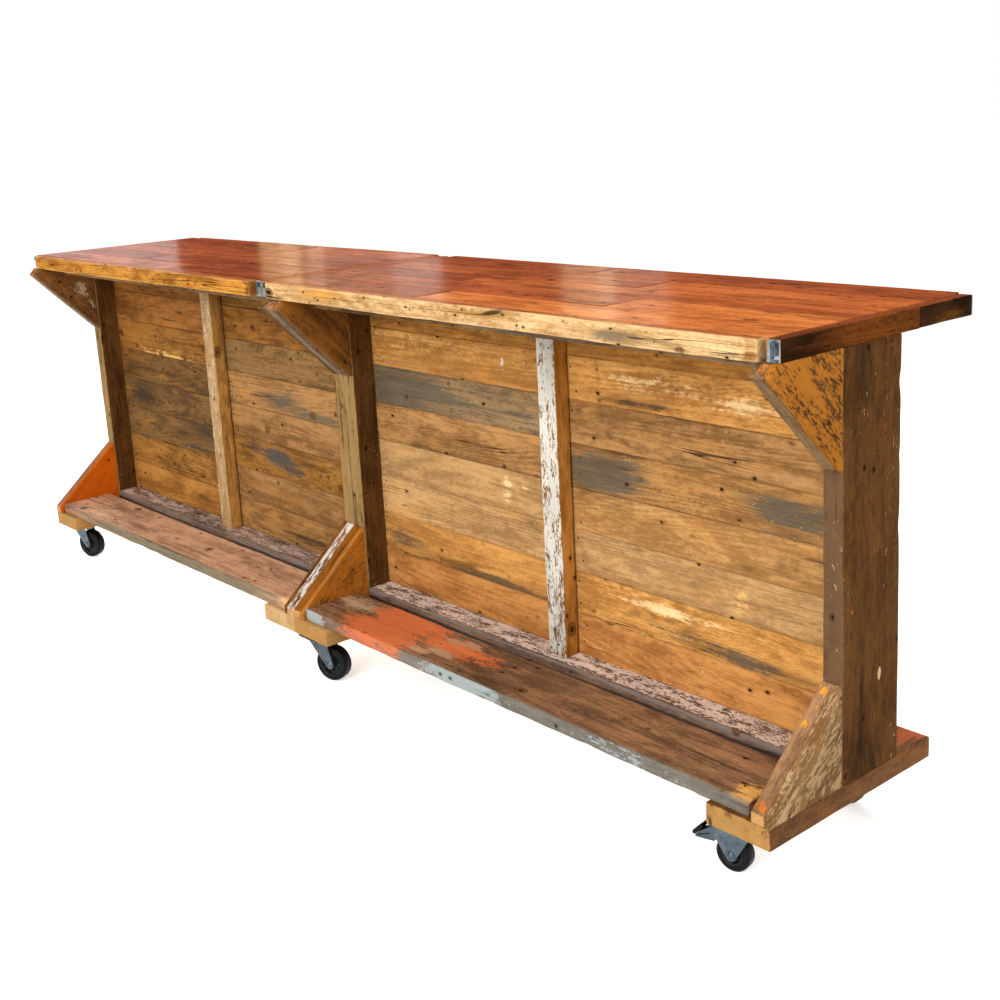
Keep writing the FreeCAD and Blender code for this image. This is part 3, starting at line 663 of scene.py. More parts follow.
# Each stain's middle along and up the wall, its width, its height, its colour and its strength
plank_stains = (
    (0.10, 0.775, 0.22, 0.09, slate, 0.8), (0.40, 0.838, 0.55, 0.022, "#57452e", 0.7),
    (0.70, 0.665, 0.08, 0.06, soot, 0.6), (0.12, 0.36, 0.18, 0.06, "#5a4832", 0.6),
    (0.45, 0.315, 0.45, 0.024, "#4d4030", 0.7), (0.555, 0.57, 0.03, 0.045, cream, 0.7),
    (0.62, 0.585, 0.03, 0.03, cream, 0.5), (1.00, 0.842, 0.25, 0.028, soot, 0.75),
    (1.06, 0.89, 0.25, 0.035, cream, 0.75), (1.31, 0.872, 0.22, 0.035, cream, 0.7),
    (0.88, 0.665, 0.22, 0.1, slate, 0.92), (1.42, 0.665, 0.22, 0.09, slate, 0.92),
    (1.285, 0.461, 0.05, 0.07, straw, 0.55), (1.28, 0.322, 0.40, 0.027, "#4a4236", 0.75),
    (1.05, 0.385, 0.3, 0.03, cream, 0.55), (-1.39, 0.575, 0.13, 0.06, soot, 0.7),
    (-1.0, 0.50, 0.15, 0.07, soot, 0.6), (-1.2, 0.733, 0.35, 0.018, straw, 0.6),
    (-0.48, 0.66, 0.25, 0.05, slate, 0.65), (-0.28, 0.632, 0.22, 0.03, "#5a5342", 0.6),
    (-0.52, 0.478, 0.14, 0.05, ink, 0.85), (-0.43, 0.452, 0.12, 0.04, ink, 0.85),
    (-0.36, 0.485, 0.1, 0.03, "#4d4a43", 0.7), (-0.66, 0.50, 0.15, 0.045, soot, 0.6),
    (-0.35, 0.24, 0.30, 0.045, soot, 0.6), (0.2, 0.9, 0.35, 0.04, straw, 0.65),
)
lime = "#d9cdb0"
drip_height = 0.885
plank_drips = [Spot((x, 0, drip_height), (0.012, far, 0.045), lime, 0.6)
               for x in (0.43, 0.455, 0.545, 0.56, 0.64)]
stud_low, stud_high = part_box("wall_studs")
stud_centres = {"left": stud_low.x + stud_width / 2, "right": stud_high.x - stud_width / 2}
for unit, seed in (("left", 5), ("right", 6)):
    node = unit + "_wall_planks"
    low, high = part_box(node)
    pitch = (high.z - low.z + plank_gap) / plank_rows
    middle = stud_centres[unit]
    plank_sticks = []
    for row, pair in enumerate(plank_finishes[unit]):
        bottom = low.z + row * pitch
        top = bottom + pitch - plank_gap
        for x0, x1, finish in ((low.x, middle, pair[0]), (middle, high.x, pair[1])):
            marks = [Spot((x, low.y, z), (wide, soak_depth, tall), colour, strength)
                     for x, z, wide, tall, colour, strength in plank_stains
                     if bottom <= z <= top and x0 - stain_overlap <= x <= x1 + stain_overlap]
            drips = [drip for drip in plank_drips
                     if bottom <= drip_height <= top and x0 <= drip.place[0] <= x1]
            plank_sticks.append(box_stick((x0, low.y, bottom), (x1, high.y, top), 0, finish,
                                          arris=0.0012, softness=0.004, step=0.012,
                                          stains=marks, paint=drips))
    timber_piece(node + "_aged", plank_sticks, wall_wood, "plank_wood", (node,), seed)

bay_edges = [(post_starts[0] + post_thickness, post_starts[1]),
             (post_starts[2] + post_thickness, post_starts[3])]
rough_sawn = Finish("#a5845a", "#6e5232", 0.1, 0.3)
cleat_sticks = [cut_stick(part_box("wall_cleats"), start, start + cleat_width, 2, rough_sawn)
                for x0, x1 in bay_edges for start in (x0, x1 - cleat_width)]
timber_piece("wall_cleats_aged", cleat_sticks, old_wood, "hidden_wood", ("wall_cleats",), 7)

weathered_wood = timber("weathered_wood", 0.7, relief=0.0024, holes=0.35, scuffs=0.2, resin=0.0,
                        specular=0.08, flakes=2.0)
sill_low, sill_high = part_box("wall_sills")
sill_finishes = (Finish("#96735c", "#5c4537", 0.15, 0.4, "#d0b7a7", 0.44),
                 Finish("#8a6852", "#513c30", 0.1, 0.4, "#dbc3b2", 0.53))
# The sills' fronts: mid-grey along the upper part, and near black along the lower part, which is a
# painted shadow
sill_front_and_painted_shadow = (Spot((0, sill_low.y, sill_high.z), (far, 0.004, 0.014), "#6a615b", 1.4),
              Spot((0, sill_low.y, sill_low.z), (far, 0.006, 0.022), "#231f1d", 1.6))
worn_nose = Spot((0, sill_low.y, sill_low.z), (far, 0.004, far), "#6d6c6e", -0.8)
sill_sticks = [cut_stick((sill_low, sill_high), x0, x1, 0, finish, arris=0.006, chip=0.008,
                         stains=sill_front_and_painted_shadow, paint=(worn_nose,))
               for (x0, x1), finish in zip(bay_edges, sill_finishes)]
timber_piece("wall_sills_aged", sill_sticks, weathered_wood, "sill_wood", ("wall_sills",), 8)

left_stud = Finish("#ae7f40", "#7e5624", -0.1, 0.5, "#d0bf9c", -0.2)
right_stud = Finish("#bd8038", "#8f5a20", -0.3, 0.4, "#cfc9bb", -0.4)
coat_reach = (stud_high.z - stud_low.z) * 2.5
stud_sticks = []
for unit, finish, strength, bare in (("left", left_stud, 0.42, "#a9855a"),
                                     ("right", right_stud, 0.65, "#6f4d2d")):
    x0 = stud_centres[unit] - stud_width / 2
    coat = Spot((0, stud_low.y, stud_high.z), (far, 0.006, coat_reach), finish.wash, strength)
    dull = Spot((0, stud_low.y, 0), (far, 0.003, far), bare)
    stud_sticks.append(cut_stick((stud_low, stud_high), x0, x0 + stud_width, 2, finish,
                                 paint=(coat,), stains=(dull,)))
timber_piece("wall_studs_aged", stud_sticks, weathered_wood, "stud_wood", ("wall_studs",), 9)

# Foot shelves
# A thick plank in front of each wall, laid on the feet for people to rest a foot on.
# The left one is walked bare, and its pale tone is partly painted light; the right one keeps
# orange paint at its left end and blue-grey paint on its front edge.
# The left shelf's light tone is partly painted light, lifted to make up for the dimmer light that
# falls on it
left_shelf = Finish("#d3a17c", "#946a50", 0.0, 0.4)
right_shelf = Finish("#956b49", "#5e432e", 0.0, 0.4, "#c95c24", -0.6)
left_shelf_low, left_shelf_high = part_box("left_foot_shelf")
shelf_low, shelf_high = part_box("right_foot_shelf")
red_lead, sky, bare_tan = "#cb6b3c", "#9aa29f", "#a5876a"
top_paint = [Spot((x, y, shelf_high.z), reach, colour, strength)
             for x, y, reach, colour, strength in (
                 (0.3, -0.28, (0.25, 0.12, 0.02), red_lead, 0.95),
                 (0.31, -0.18, (0.25, 0.12, 0.02), red_lead, 0.9),
                 (0.54, -0.225, (0.3, 0.085, 0.02), red_lead, 0.74),
                 (0.475, -0.287, (0.05, 0.014, 0.012), bare_tan, 1.6),
                 (0.53, -0.262, (0.06, 0.016, 0.012), bare_tan, 1.6),
                 (0.5, -0.195, (0.04, 0.012, 0.012), bare_tan, 1.5),
                 (0.56, -0.183, (0.05, 0.012, 0.012), bare_tan, 1.5))]
front_paint = [Spot((x, shelf_low.y, 0), (wide, 0.006, far), colour, strength)
               for x, wide, colour, strength in (
                   (0.3, 0.26, "#c06a45", 0.72), (0.68, 0.24, sky, 0.9),
                   (1.2, 0.4, sky, 0.42), (0.05, 0.09, sky, 0.9))]
ochre_patch = Spot((1.42, -0.21, shelf_high.z), (0.06, 0.03, far), "#dc9440", 0.42)
shelf_stains = (Spot((1.515, -0.295, shelf_high.z), (0.06, 0.05, 0.012), "#d39a50", 1.2),
                Spot((0.1, -0.2, shelf_high.z), (0.2, 0.08, far), bare_tan, 0.8),
                Spot((0.9, shelf_low.y, 0), (1.1, 0.009, far), "#66635b", 1.4))
left_stains = (Spot((-0.8, left_shelf_low.y, 0), (1.2, 0.008, far), "#6d6551"),
               Spot((-0.085, -0.325, left_shelf_high.z), (0.05, 0.045, far), "#dfb078", 0.9))
trodden = {"chip": 0.012, "arris": 0.003}
left_plank = box_stick(left_shelf_low, left_shelf_high, 0, left_shelf, stains=left_stains,
                       **trodden)
right_plank = box_stick(shelf_low, shelf_high, 0, right_shelf, step=0.012, columns=13,
                        paint=top_paint + front_paint + [ochre_patch], stains=shelf_stains,
                        **trodden)
timber_piece("left_foot_shelf_aged", [left_plank], weathered_wood, "shelf_wood",
             ("left_foot_shelf",), 10)
timber_piece("right_foot_shelf_aged", [right_plank], weathered_wood, "shelf_wood",
             ("right_foot_shelf",), 11)

# Rails and bearers under the top
# Rough grey battens on edge between the gussets and between the posts, and cross bearers
# under the boards. They are only seen from below.
rail_thickness = 0.022
bearer_width = 0.090
grey_rail = Finish("#9a7b52", "#5d462c", 0.25, 0.4)
rail_low, rail_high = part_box("top_rails")
rail_sticks = [box_stick((x0, y0, rail_low.z), (x1, y0 + rail_thickness, rail_high.z), 0, grey_rail)
               for x0, x1 in bay_edges for y0 in (rail_low.y, rail_high.y - rail_thickness)]
timber_piece("top_rails_aged", rail_sticks, old_wood, "hidden_wood", ("top_rails",), 12)
for unit, seed in (("left", 13), ("right", 14)):
    node = unit + "_top_bearers"
    low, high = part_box(node)
    bearer_starts = (low.x, stud_centres[unit] - bearer_width / 2, high.x - bearer_width)
    bearer_sticks = [cut_stick((low, high), x0, x0 + bearer_width, 1, rough_sawn)
                     for x0 in bearer_starts]
    timber_piece(node + "_aged", bearer_sticks, old_wood, "hidden_wood", (node,), seed)

# Tops
# Five rows of boards on each unit, two lengths to a row, stained red-brown and varnished to shine.
# An edging runs round them, varnished on top and worn bare outside:
# golden at the left, pale and split at the right.
top_board_rows = 5
top_board_gap = 0.0016
end_groove = 0.003
half_butt = 0.0005
varnished = timber("varnished_top", 0.5, varnish=0.035, relief=0.0008, holes=0.55,
                   hole_grid=(13, 34, 34), scuffs=0.4, resin=0.0, specular=0.0)
edge_wood = timber("edge_wood", 0.55, varnish=0.03, relief=0.0024, holes=0.75,
                   hole_grid=(30, 52, 52), scuffs=0.4, resin=0.3, specular=0.0, splits=0.42)
worn = 0.35
deep_red = Finish("#92431d", "#682a0e", -0.6, worn)
red_brown = Finish("#a55127", "#783513", -0.6, worn)
warm_red = Finish("#bd642f", "#8c431a", -0.6, worn)
bright_red = Finish("#cf7738", "#9f5222", -0.6, worn)
# The left unit's boards get darker reds and the right unit's front boards the brightest: partly
# their own colour, partly painted shade on the far boards, which mirror less light, and painted
# light on the near ones
top_finishes_and_painted_light = {
    "left": ((red_brown, deep_red), (deep_red, deep_red), (red_brown, deep_red),
             (deep_red, deep_red), (deep_red, red_brown)),
    "right": ((red_brown, bright_red), (red_brown, bright_red), (deep_red, warm_red),
              (red_brown, warm_red), (deep_red, red_brown)),
}
butt_joints = {"left": (0.62, 0.35, 0.7, 0.45, 0.58), "right": (0.38, 0.68, 0.3, 0.6, 0.42)}
for unit, seed in (("left", 15), ("right", 16)):
    node = unit + "_top_boards"
    low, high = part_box(node)
    pitch = (high.y - low.y + top_board_gap) / top_board_rows
    top_sticks = []
    for row, (pair, share) in enumerate(zip(top_finishes_and_painted_light[unit], butt_joints[unit])):
        y0 = low.y + row * pitch
        y1 = y0 + pitch - top_board_gap
        butt = low.x + share * (high.x - low.x)
        for x0, x1, finish in ((low.x + end_groove, butt - half_butt, pair[0]),
                               (butt + half_butt, high.x - end_groove, pair[1])):
            top_sticks.append(box_stick((x0, y0, low.z), (x1, y1, high.z), 0, finish,
                                        arris=0.0012, chip=0.003, warp=0.0002, softness=0.003))
    timber_piece(node + "_aged", top_sticks, varnished, "top_wood", (node,), seed)

golden_edge = Finish("#cf8e3c", "#8b551d", -0.25, 0.6)
pale_edge = Finish("#deb985", "#9c7444", -0.1, 0.6)
top_front, top_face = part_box("right_front_edge")[0].y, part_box("right_front_edge")[1].z
gloss = Spot((0, 0, top_face), (far, far, 0.0014), "#96461f", 1.3)
end_gloss = gloss._replace(colour="#7d3d1b")
edge_marks = {
    "left_front_edge": (Spot((-0.145, 0, 0), (0.022, far, far), "#6d421d", 0.8),),
    "right_front_edge": (Spot((1.535, 0, 0), (0.022, far, far), "#7a4a20", 0.9),
                         Spot((1.21, 0, 1.052), (0.12, far, 0.02), "#6a5a47", 0.75),
                         Spot((0.66, 0, 1.046), (0.06, far, 0.01), "#5f4a34", 0.6),
                         Spot((0.2, 0, 1.054), (0.3, far, far), "#bd8338", 0.7)),
}
for node, finish, slot, seed in (("left_front_edge", golden_edge, "left_edge_wood", 17),
                                 ("right_front_edge", pale_edge, "right_edge_wood", 18)):
    edge = box_stick(*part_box(node), 0, finish, chip=0.013, arris=0.0025, warp=0.0009,
                     stains=edge_marks[node] + (gloss,))
    timber_piece(node + "_aged", [edge], edge_wood, slot, (node,), seed)

edge_thickness = 0.027
splice = 0.442
dark_end = Finish("#36200e", "#1f1207", -0.3, 0.2)
orange_end = Finish("#6d3a12", "#42230b", -0.3, 0.1)
dark_front = Spot((0, top_front, 0), (far, 0.26, far), "#1f1006", 1.2)
end_sticks = []
for node in ("left_end_edges", "right_end_edges"):
    low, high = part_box(node)
    end_sticks.append(cut_stick((low, high), low.x, low.x + edge_thickness, 1, orange_end,
                                stains=(gloss,)))
    if node.startswith("left"):
        cuts, marks = [low.y, high.y], (gloss,)
    else:
        cuts, marks = [low.y, top_front + splice, high.y], (end_gloss, dark_front)
    for y0, y1, finish in zip(cuts, cuts[1:], (orange_end, dark_end)):
        end_sticks.append(box_stick((high.x - edge_thickness, y0, low.z), (high.x, y1, high.z), 1,
                                    finish, stains=marks))
back_low, back_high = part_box("back_edges")
for node in ("left_front_edge", "right_front_edge"):
    low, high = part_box(node)
    end_sticks.append(box_stick((low.x, back_low.y, low.z), (high.x, back_high.y, high.z), 0,
                                orange_end, stains=(gloss,)))
timber_piece("end_and_back_edges", end_sticks, edge_wood, "end_edge_wood",
             ("left_end_edges", "right_end_edges", "back_edges"), 19)

# Nails
# Cut iron nails hold the planks, studs, sills, shelves and edgings, rusted nearly black.
# Their heads are hammered flush, so only a low dome stands proud of the wood.


def domes(places, outward, radius, proud, rows=3, around=8):
    """Low round heads at many places: rings that shrink as they rise along outward vectors."""
    tilt = np.linspace(math.pi / 2, 0.4, rows)[None, :, None, None]
    angle = np.linspace(0, 2 * math.pi, around, endpoint=False)[None, None, :, None]
    across = np.cross(outward, (0.3, 0.5, 0.81))
    across /= np.linalg.norm(across, axis=1)[:, None]
    third = np.cross(outward, across)
    ring = np.cos(angle) * across[:, None, None] + np.sin(angle) * third[:, None, None]
    heads = (places[:, None, None] + radius * np.sin(tilt) * ring
             + proud * np.cos(tilt) * outward[:, None, None])
    corners, totals = tube_faces(rows, around)
    corners = corners[None] + rows * around * np.arange(len(places))[:, None]
    return heads.reshape(-1, 3), corners.reshape(-1), np.tile(totals, len(places))


def lattice(xs, ys, zs):
    """Every combination of the given coordinates as places."""
    return np.stack(np.meshgrid(xs, ys, zs, indexing="ij"), 3).reshape(-1, 3)


nail_radius, nail_proud = 0.0028, 0.0008
nail_stray, nail_share = 0.012, 0.75
plank_inset, beside_stud, sill_inset, edge_inset = 0.016, 0.046, 0.1, 0.04
edge_nail_height = 1.055
forward, upward = (0.0, -1.0, 0.0), (0.0, 0.0, 1.0)
nail_places, nail_ways = [], []
for unit in ("left", "right"):
    low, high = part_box(unit + "_wall_planks")
    middle = stud_centres[unit]
    rows = np.arange(plank_rows)[:, None] + np.array([0.25, 0.75])
    rows = low.z + rows * (high.z - low.z) / plank_rows
    beside = [low.x + plank_inset, middle - beside_stud, middle + beside_stud, high.x - plank_inset]
    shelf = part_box(unit + "_foot_shelf")
    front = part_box(unit + "_front_edge")
    on_sill = np.linspace(low.x + sill_inset, high.x - sill_inset, 5)
    on_shelf = [shelf[0].x + 0.035, shelf[1].x - 0.05]
    on_edge = np.linspace(front[0].x + edge_inset, front[1].x - edge_inset, 9)
    for places, way in (
            (lattice(beside, [low.y], rows.reshape(-1)), forward),
            (lattice([middle - 0.014, middle + 0.012], [stud_low.y], rows[:, 0]), forward),
            (lattice(on_sill, [-0.09, -0.06], [sill_high.z]), upward),
            (lattice(on_shelf, [-0.29, -0.18], [shelf[1].z]), upward),
            (lattice(on_edge, [front[0].y], [edge_nail_height]), forward)):
        nail_places.append(places)
        nail_ways.append(np.array(way) * np.ones((len(places), 1)))
nail_places, nail_ways = np.concatenate(nail_places), np.concatenate(nail_ways)
rng = np.random.default_rng(77)
stray = rng.uniform(-nail_stray, nail_stray, nail_places.shape)
nail_places = nail_places + stray * (1 - np.abs(nail_ways))
found = rng.uniform(size=len(nail_places)) < nail_share
nail_places, nail_ways = nail_places[found], nail_ways[found]
iron, iron_shader = new_material("nail_iron")
rust = noise(Field.node("ShaderNodeTexCoord", out=3), (400, 400, 400), 3, 0.6)
feed(iron_shader, {"Base Color": lay(hue("#15100c"), hue("#4b2d1a"), rust.rise(0.45, 0.7)),
                   "Roughness": 0.6, "Metallic": 0.3})
nails = mesh_piece("nails", *domes(nail_places, nail_ways, nail_radius, nail_proud), iron)
ridden(nails, "bar", "zinc")

# Catches
# Zinc-plated pressed steel: hook plates, keeper plates and hooks at the tops' corners.
# The plates are worn to a pale grey; the hooks and rivets keep a darker, bluish bloom.


def zinc_plate(name, dull, bright):
    """Zinc plating with a cloudy bloom between two colours and fine scratches."""
    material, shader = new_material(name)
    place = Field.node("ShaderNodeTexCoord", out=3)
    bloom = noise(place, (40, 40, 40), 4, 0.6)
    scratch = noise(place, (60, 900, 240), 2, 0.6)
    cloudy = (bloom * 0.9 + scratch * 0.2).rise(0.3, 0.8)
    feed(shader, {"Base Color": lay(hue(dull), hue(bright), cloudy), "Metallic": 1.0,
                  "Roughness": 0.2 + bloom * 0.16 + scratch * 0.06,
                  "Normal": bump(scratch, 0.12, 0.0003)})
    return material


plated = zinc_plate("zinc_plate", "#404a50", "#626d75")
worn_zinc = zinc_plate("worn_zinc", "#757874", "#aaaeaa")
fittings = {"hook_plates": worn_zinc, "keeper_plates": worn_zinc, "hook_rivets": plated,
            "joint_front_hook": plated, "joint_back_hook": plated, "end_front_hook": plated,
            "end_back_hook": plated, "caster_plates": plated, "caster_screws": plated}
for node, zinc in fittings.items():
    for holder in frame["nodes"][node].material_slots:
        holder.material = zinc

# Casters
# Pressed zinc forks that swivel under plates, with a red seal round the ball race
# and black rubber tyres on ribbed plastic wheels.
# The two at the right end have a brake lever with a black tread pad.
millimetres = 1000  # in a metre: the sizes of this section are in millimetres


def moulded(name, code, roughness, specular=0.25):
    """Moulded rubber or plastic: one colour with a little dust and a fine grain."""
    material, shader = new_material(name)
    place = Field.node("ShaderNodeTexCoord", out=3)
    dust = noise(place, (70, 70, 70), 5, 0.65).rise(0.52, 0.78)
    grit = noise(place, (900, 900, 900), 2, 0.6)
    feed(shader, {"Base Color": lay(hue(code), hue("#5d574f"), dust * 0.06),
                  "Roughness": roughness + dust * 0.15, "Specular IOR Level": specular,
                  "Normal": bump(grit, 0.2, 0.0003)})
    return material


def turned(origin, basis, outline, around=64):
    """A closed outline of (offset, radius, rib) points turned about the second unit vector.

    A point's offset grows by its rib at six places round the axis, as the fourth power of
    cos(3 angle).
    """
    offset, radius, rib = np.asarray(outline, float).T[:, :, None]
    angle = np.linspace(0, 2 * math.pi, around, endpoint=False)[None]
    offset = offset + rib * np.cos(3 * angle) ** 4
    local = np.stack([radius * np.sin(angle), offset, radius * np.cos(angle)], 2)
    cells = np.arange(local.shape[0] * around).reshape(-1, around)
    below, beside = np.roll(cells, -1, 0), np.roll(cells, -1, 1)
    corners = np.stack([cells, beside, np.roll(below, -1, 1), below], 2).reshape(-1)
    return origin + local.reshape(-1, 3) @ basis, corners, np.full(cells.size, 4)


def both_sides(half):
    """Half an outline and its mirror, from the far side over the outside to the near side."""
    half = [tuple(point) + (0.0,) * (3 - len(point)) for point in half]
    outline = [(-v, r, -rib) for v, r, rib in half] + [(v, r, rib) for v, r, rib in reversed(half)]
    return np.array(outline) / millimetres


def upright_ring(place, profile):
    """A closed outline of (height, radius) points turned about an upright through a place."""
    standing = np.array([(1, 0, 0), (0, 0, 1), (0, -1, 0)])
    outline = np.array([(height, radius, 0) for height, radius in profile]) / millimetres
    return turned(place, standing, outline[::-1], 48)


def pressed(origin, basis, outline, ends, arris=0.8):
    """A pressed sheet: the hull of an outline in (trail, up), carried along the axle."""
    order = convex_hull_2d([Vector(point) for point in outline])
    hull = [np.array(outline[i]) / millimetres for i in order]
    grid = worn_stick(hull, (ends[0] / millimetres, ends[1] / millimetres), 0,
                      arris=arris / millimetres, chip=0.0, warp=0.0)[0]
    points = origin + grid.reshape(-1, 3)[:, (1, 0, 2)] @ basis
    return (points, *tube_faces(*grid.shape[:2], True))


def round_eye(centre, radius, count=14):
    """Points round an eye of a sheet."""
    angles = [2 * math.pi * i / count for i in range(count)]
    return [(centre[0] + radius * math.cos(a), centre[1] + radius * math.sin(a)) for a in angles]


rubber = moulded("tyre_rubber", "#060607", 0.4, 0.12)
core = moulded("wheel_core_plastic", "#0d0d0f", 0.36, 0.2)
seal_red = moulded("seal_red", "#a8330f", 0.4)
braked_tread, braked_side = 37.5, 14.0
plain_tread, plain_side = 48.0, 16.0
wheel_clearance, fork_sheet = 4.0, 3.0
tyre_depth, rim_depth = 14.0, 5.0
crown_bottom, crown_top, crown_reach, crown_radius = 112.6, 115.6, 29.0, 31.0
race_bottom, race_top, race_radius, seal_radius = 116.0, 122.0, 25.0, 29.5
kingpin_radius = 7
eye_radius, ear_radius = 12.0, 9.0
pivot_behind, pivot_above = 32.0, 44.5
lever_reach, lever_drop, lever_half = 53.0, 23.0, 13
pad_lean = math.radians(45)
pad_length, pad_overhang = 32, 8.0
ridge_half, ridge_width, ridge_starts = 12, 3, (2, 8.5, 15, 21.5, 27)
joints = {joint["name"]: joint for joint in frame["joints"]}
seals = []
for caster in [name[:-len("_swivel")] for name in joints if name.endswith("_swivel")]:
    braked = caster.startswith("right")
    wheel_middle = np.array(joints[caster + "_spin"]["pos_m"])
    swivel = np.array(joints[caster + "_swivel"]["pos_m"]) * (1, 1, 0)
    away = (wheel_middle - swivel) * (1, 1, 0)
    trail = float(np.linalg.norm(away))
    away = away / trail
    basis = np.array([away, (-away[1], away[0], 0), (0, 0, 1)])
    trail *= millimetres
    tread, side = (braked_tread, braked_side) if braked else (plain_tread, plain_side)
    gap = side + wheel_clearance
    outer = gap + fork_sheet
    seat = tread - tyre_depth
    rim = seat - rim_depth
    boss = gap - 0.5
    rib = side - 7.0
    # Half outlines of tyre, wheel and bolt, as distance from the wheel's middle and radius
    tyre = [(side, seat), (side, seat + 2), (side - 0.9, seat + 2.6), (side - 0.9, seat + 3.6),
            (side, seat + 4.2), (side, tread - 5), (side - 0.7, tread - 2.6),
            (side - 2.4, tread - 0.9), (side - 5, tread - 0.25), (2, tread)]
    hub = [(boss, 4.4), (boss, 6.6), (boss - 1.2, 7.2), (boss - 1.2, 9.8), (boss, 10.4),
           (boss, 12.2), (boss - 0.8, 13), (6.2, 13, rib), (5, 14.2, rib), (5, rim - 1.2, rib),
           (6.2, rim, rib), (side - 0.8, rim), (side, rim + 0.8), (side, seat - 0.8),
           (side - 0.5, seat)]
    bolt = [(outer + 5, 0.05), (outer + 4.8, 3), (outer + 4, 5.2), (outer + 2.2, 6.2),
            (outer + 1.7, 6.4), (outer + 1.5, 9.6), (outer + 1, 10.3), (outer, 10.4), (outer, 4)]
    for part, half, material in (("tyre", tyre, rubber), ("wheel", hub, core)):
        piece = mesh_piece(caster + "_turned_" + part,
                           *turned(wheel_middle, basis, both_sides(half)), material)
        ridden(piece, caster + "_wheel", "tyre" if part == "tyre" else "wheel_core",
               (caster + "_" + part,))
    piece = mesh_piece(caster + "_bolt", *turned(wheel_middle, basis, both_sides(bolt), 32), plated)
    ridden(piece, caster + "_fork", "zinc", (caster + "_axle",))
    # The fork's two legs and crown as (trail, up), and its round plate under the race
    pivot = (trail + pivot_behind, tread + pivot_above)
    leg = [(-crown_reach, crown_top), (crown_reach, crown_top)]
    leg += round_eye((trail, tread), eye_radius) + (round_eye(pivot, ear_radius) if braked else [])
    crown = [(x, z) for x in (-crown_reach, crown_reach) for z in (crown_bottom, crown_top)]
    disc = [(crown_bottom, kingpin_radius), (crown_top, kingpin_radius),
            (crown_top, crown_radius - 1), (crown_top - 1, crown_radius),
            (crown_bottom, crown_radius)]
    sheets = [pressed(swivel, basis, leg, (gap, outer)),
              pressed(swivel, basis, leg, (-outer, -gap)),
              pressed(swivel, basis, crown, (-outer, outer)), upright_ring(swivel, disc)]
    piece = mesh_piece(caster + "_pressed_fork", *joined(sheets), plated)
    ridden(piece, caster + "_fork", "zinc", (caster + "_fork",))
    seal = [(race_bottom + 0.4, race_radius - 1), (race_top, race_radius - 1),
            (race_top, seal_radius - 1.5), (race_top - 1, seal_radius),
            (race_bottom + 1.5, seal_radius), (race_bottom + 0.4, seal_radius - 1.5)]
    seals.append(upright_ring(swivel, seal))
    if braked:
        # The lever as (trail, up), and a pad that leans back at its tip with ridges across it
        tip = (pivot[0] + lever_reach, pivot[1] - lever_drop)
        lever = [(pivot[0] - 7, pivot[1] + 7), (pivot[0] + 6, pivot[1] + 7), tip,
                 (tip[0], tip[1] - 10), (pivot[0] + 10, pivot[1] - 30),
                 (pivot[0] - 7, pivot[1] - 14)]
        up_pad = np.array([-math.sin(pad_lean), math.cos(pad_lean)])
        into_pad = np.array([-math.cos(pad_lean), -math.sin(pad_lean)])
        low = np.array([tip[0] + pad_overhang, tip[1]])
        pad = [low + up_pad * s + into_pad * t for s in (0, pad_length) for t in (1.5, 8)]
        ridges = [[low + up_pad * (start + s) + into_pad * t
                   for s in (0, ridge_width) for t in (0, 3)] for start in ridge_starts]
        lever = pressed(swivel, basis, lever, (-lever_half, lever_half), 2.5)
        treads = [pressed(swivel, basis, pad, (-lever_half, lever_half))]
        treads += [pressed(swivel, basis, ridge, (-ridge_half, ridge_half), 0.5)
                   for ridge in ridges]
        body = caster + "_brake"
        ridden(mesh_piece(caster + "_lever", *lever, plated), body, "zinc", (body,))
        ridden(mesh_piece(caster + "_tread_pad", *joined(treads), rubber), body, "tyre")
ridden(mesh_piece("swivel_seals", *joined(seals), seal_red), "bar", "wheel_core")

# Studio
# A pale floor that keeps the shadow, soft light from all round with a large lamp over the
# drinkers' side, and the camera where the photograph was taken from.


def seen_ray():
    """1 where a ray comes from the camera, a mirror or glass, and 0 for light bouncing about."""
    path = Field.node("ShaderNodeLightPath").socket.node.outputs
    straight, mirrored, through = [
        Field(path[kind]) for kind in ("Is Camera Ray", "Is Glossy Ray", "Is Transmission Ray")]
    return (straight + mirrored + through).math("MINIMUM", 1.0)


half_floor = 30.0
floor_glow = 0.48
floor_mesh = bpy.data.meshes.new("floor")
floor_mesh.from_pydata([(-half_floor, -half_floor, 0), (half_floor, -half_floor, 0),
                        (half_floor, half_floor, 0), (-half_floor, half_floor, 0)],
                       [], [(0, 1, 2, 3)])
floor = bpy.data.objects.new("floor", floor_mesh)
bpy.context.scene.collection.objects.link(floor)
floor_material, floor_shader = new_material("pale_floor")
feed(floor_shader, {"Base Color": (0.86, 0.86, 0.86, 1), "Roughness": 0.9,
                    "Specular IOR Level": 0.1, "Emission Strength": 1.0,
                    "Emission Color": dim((1, 1, 1, 1), seen_ray() * floor_glow)})
floor_mesh.materials.append(floor_material)

scene = bpy.context.scene
room_light, seen_light = 0.62, 1.0
world = bpy.data.worlds.new("studio")
scene.world = world
world.use_nodes = True
Field.tree = world.node_tree
feed(world.node_tree.nodes["Background"],
     {"Color": (1, 1, 1, 1), "Strength": room_light + seen_ray() * (seen_light - room_light)})


def soft_lamp(name, place, aim, size, watts):
    """A square lamp at a place, facing a point."""
    light = bpy.data.lights.new(name, "AREA")
    light.size = size
    light.energy = watts
    lamp = bpy.data.objects.new(name, light)
    lamp.location = place
    lamp.rotation_euler = (Vector(aim) - Vector(place)).to_track_quat("-Z", "Y").to_euler()
    bpy.context.scene.collection.objects.link(lamp)
    return lamp


soft_lamp("front_lamp", (2.0, -4.3, 3.4), (0.3, 0, 0.6), 3.0, 290)
soft_lamp("right_lamp", (5.0, -0.6, 2.6), (0.8, 0, 0.6), 2.4, 70)

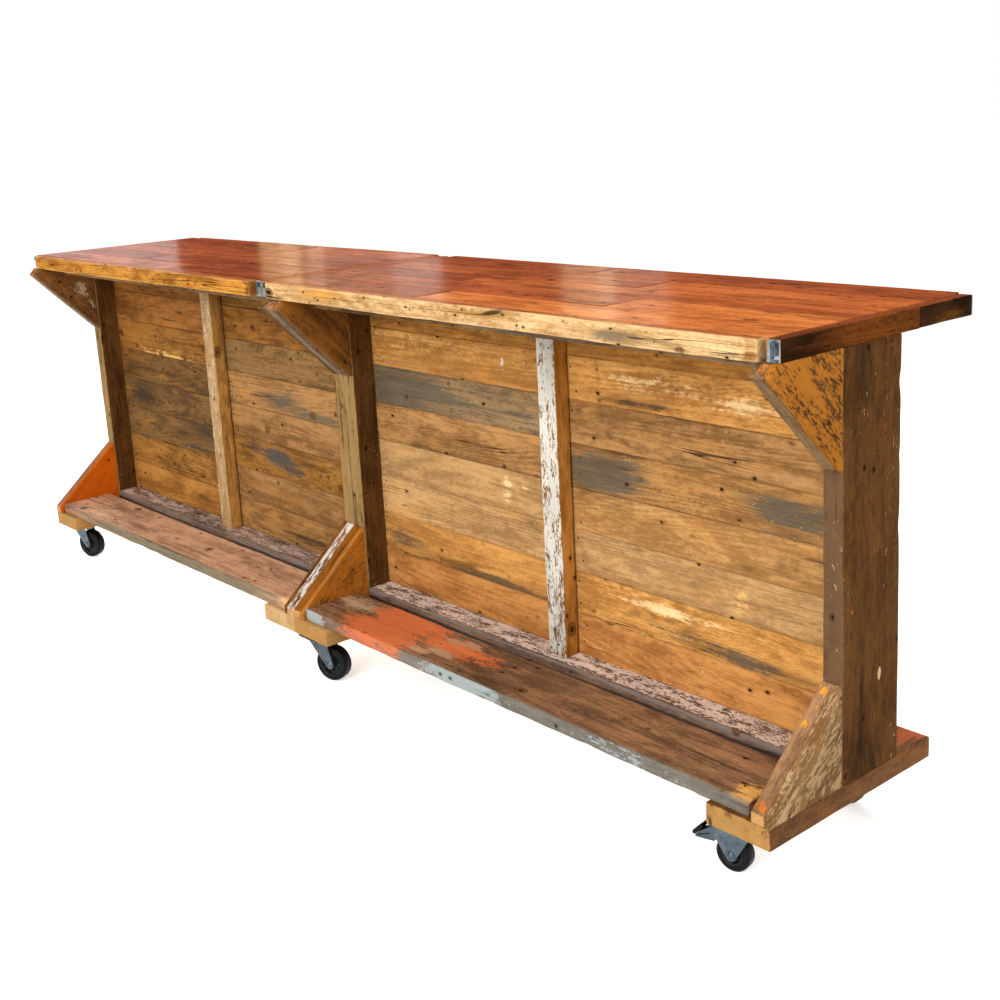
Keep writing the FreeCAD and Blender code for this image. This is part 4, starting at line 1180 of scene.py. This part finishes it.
focal_pixels = 1366.5
frame_pixels = 1000.0
principal_y = 424.1
sensor = 36.0
camera_place = Vector((3.0261, -2.1355, 1.4843))
azimuth, elevation, roll = (math.radians(a) for a in (49.897, 13.032, -3.118))
camera_data = bpy.data.cameras.new("photograph")
camera_data.sensor_width = sensor
camera_data.lens = sensor * focal_pixels / frame_pixels
camera_data.shift_y = (principal_y - frame_pixels / 2) / frame_pixels
camera_data.clip_end = 200.0
camera = bpy.data.objects.new("photograph", camera_data)
look = Vector((-math.sin(azimuth) * math.cos(elevation), math.cos(azimuth) * math.cos(elevation),
               -math.sin(elevation)))
level = look.cross(Vector((0, 0, 1))).normalized()
above = level.cross(look)
right = level * math.cos(roll) + above * math.sin(roll)
up = above * math.cos(roll) - level * math.sin(roll)
turn = Matrix((right, up, -look)).transposed().to_4x4()
camera.matrix_world = Matrix.Translation(camera_place) @ turn
scene.collection.objects.link(camera)
scene.camera = camera

# Tall strip lamps behind the bar, which the varnished tops mirror: each one's first and last
# column in the picture, its brightness and its tint. Each is laid in three widths, for soft sides.
strip_distance, strip_height, strip_middle = 8.0, 1.8, 1.8
strip_bands = ((60, 185, 34.0, "#ffffff"), (284, 306, 40.0, "#ffe0a6"),
               (304, 330, 26.0, "#ffe0b4"), (330, 442, 20.0, "#fff0d8"),
               (412, 445, 14.0, "#ffffff"), (576, 612, 33.0, "#ffecbc"),
               (612, 665, 17.0, "#fffae8"))
trims = (-8, 0, 8)
soft_bands = [(first + trim, last - trim, brightness / len(trims), code)
              for first, last, brightness, code in strip_bands for trim in trims]
for first, last, brightness, code in soft_bands:
    sight = look + right * ((first + last) / 2 - frame_pixels / 2) / focal_pixels
    sight.z = 0
    place = camera_place + sight.normalized() * strip_distance
    place.z = strip_middle
    width = strip_distance * (last - first) / focal_pixels
    strip = soft_lamp("window_strip", place, (camera_place.x, camera_place.y, strip_middle), width,
                      math.pi * width * strip_height * brightness)
    strip.data.shape = "RECTANGLE"
    strip.data.size_y = strip_height
    strip.data.color = hue(code)[:3]
    strip.visible_camera = False
scene.view_settings.view_transform = "Standard"
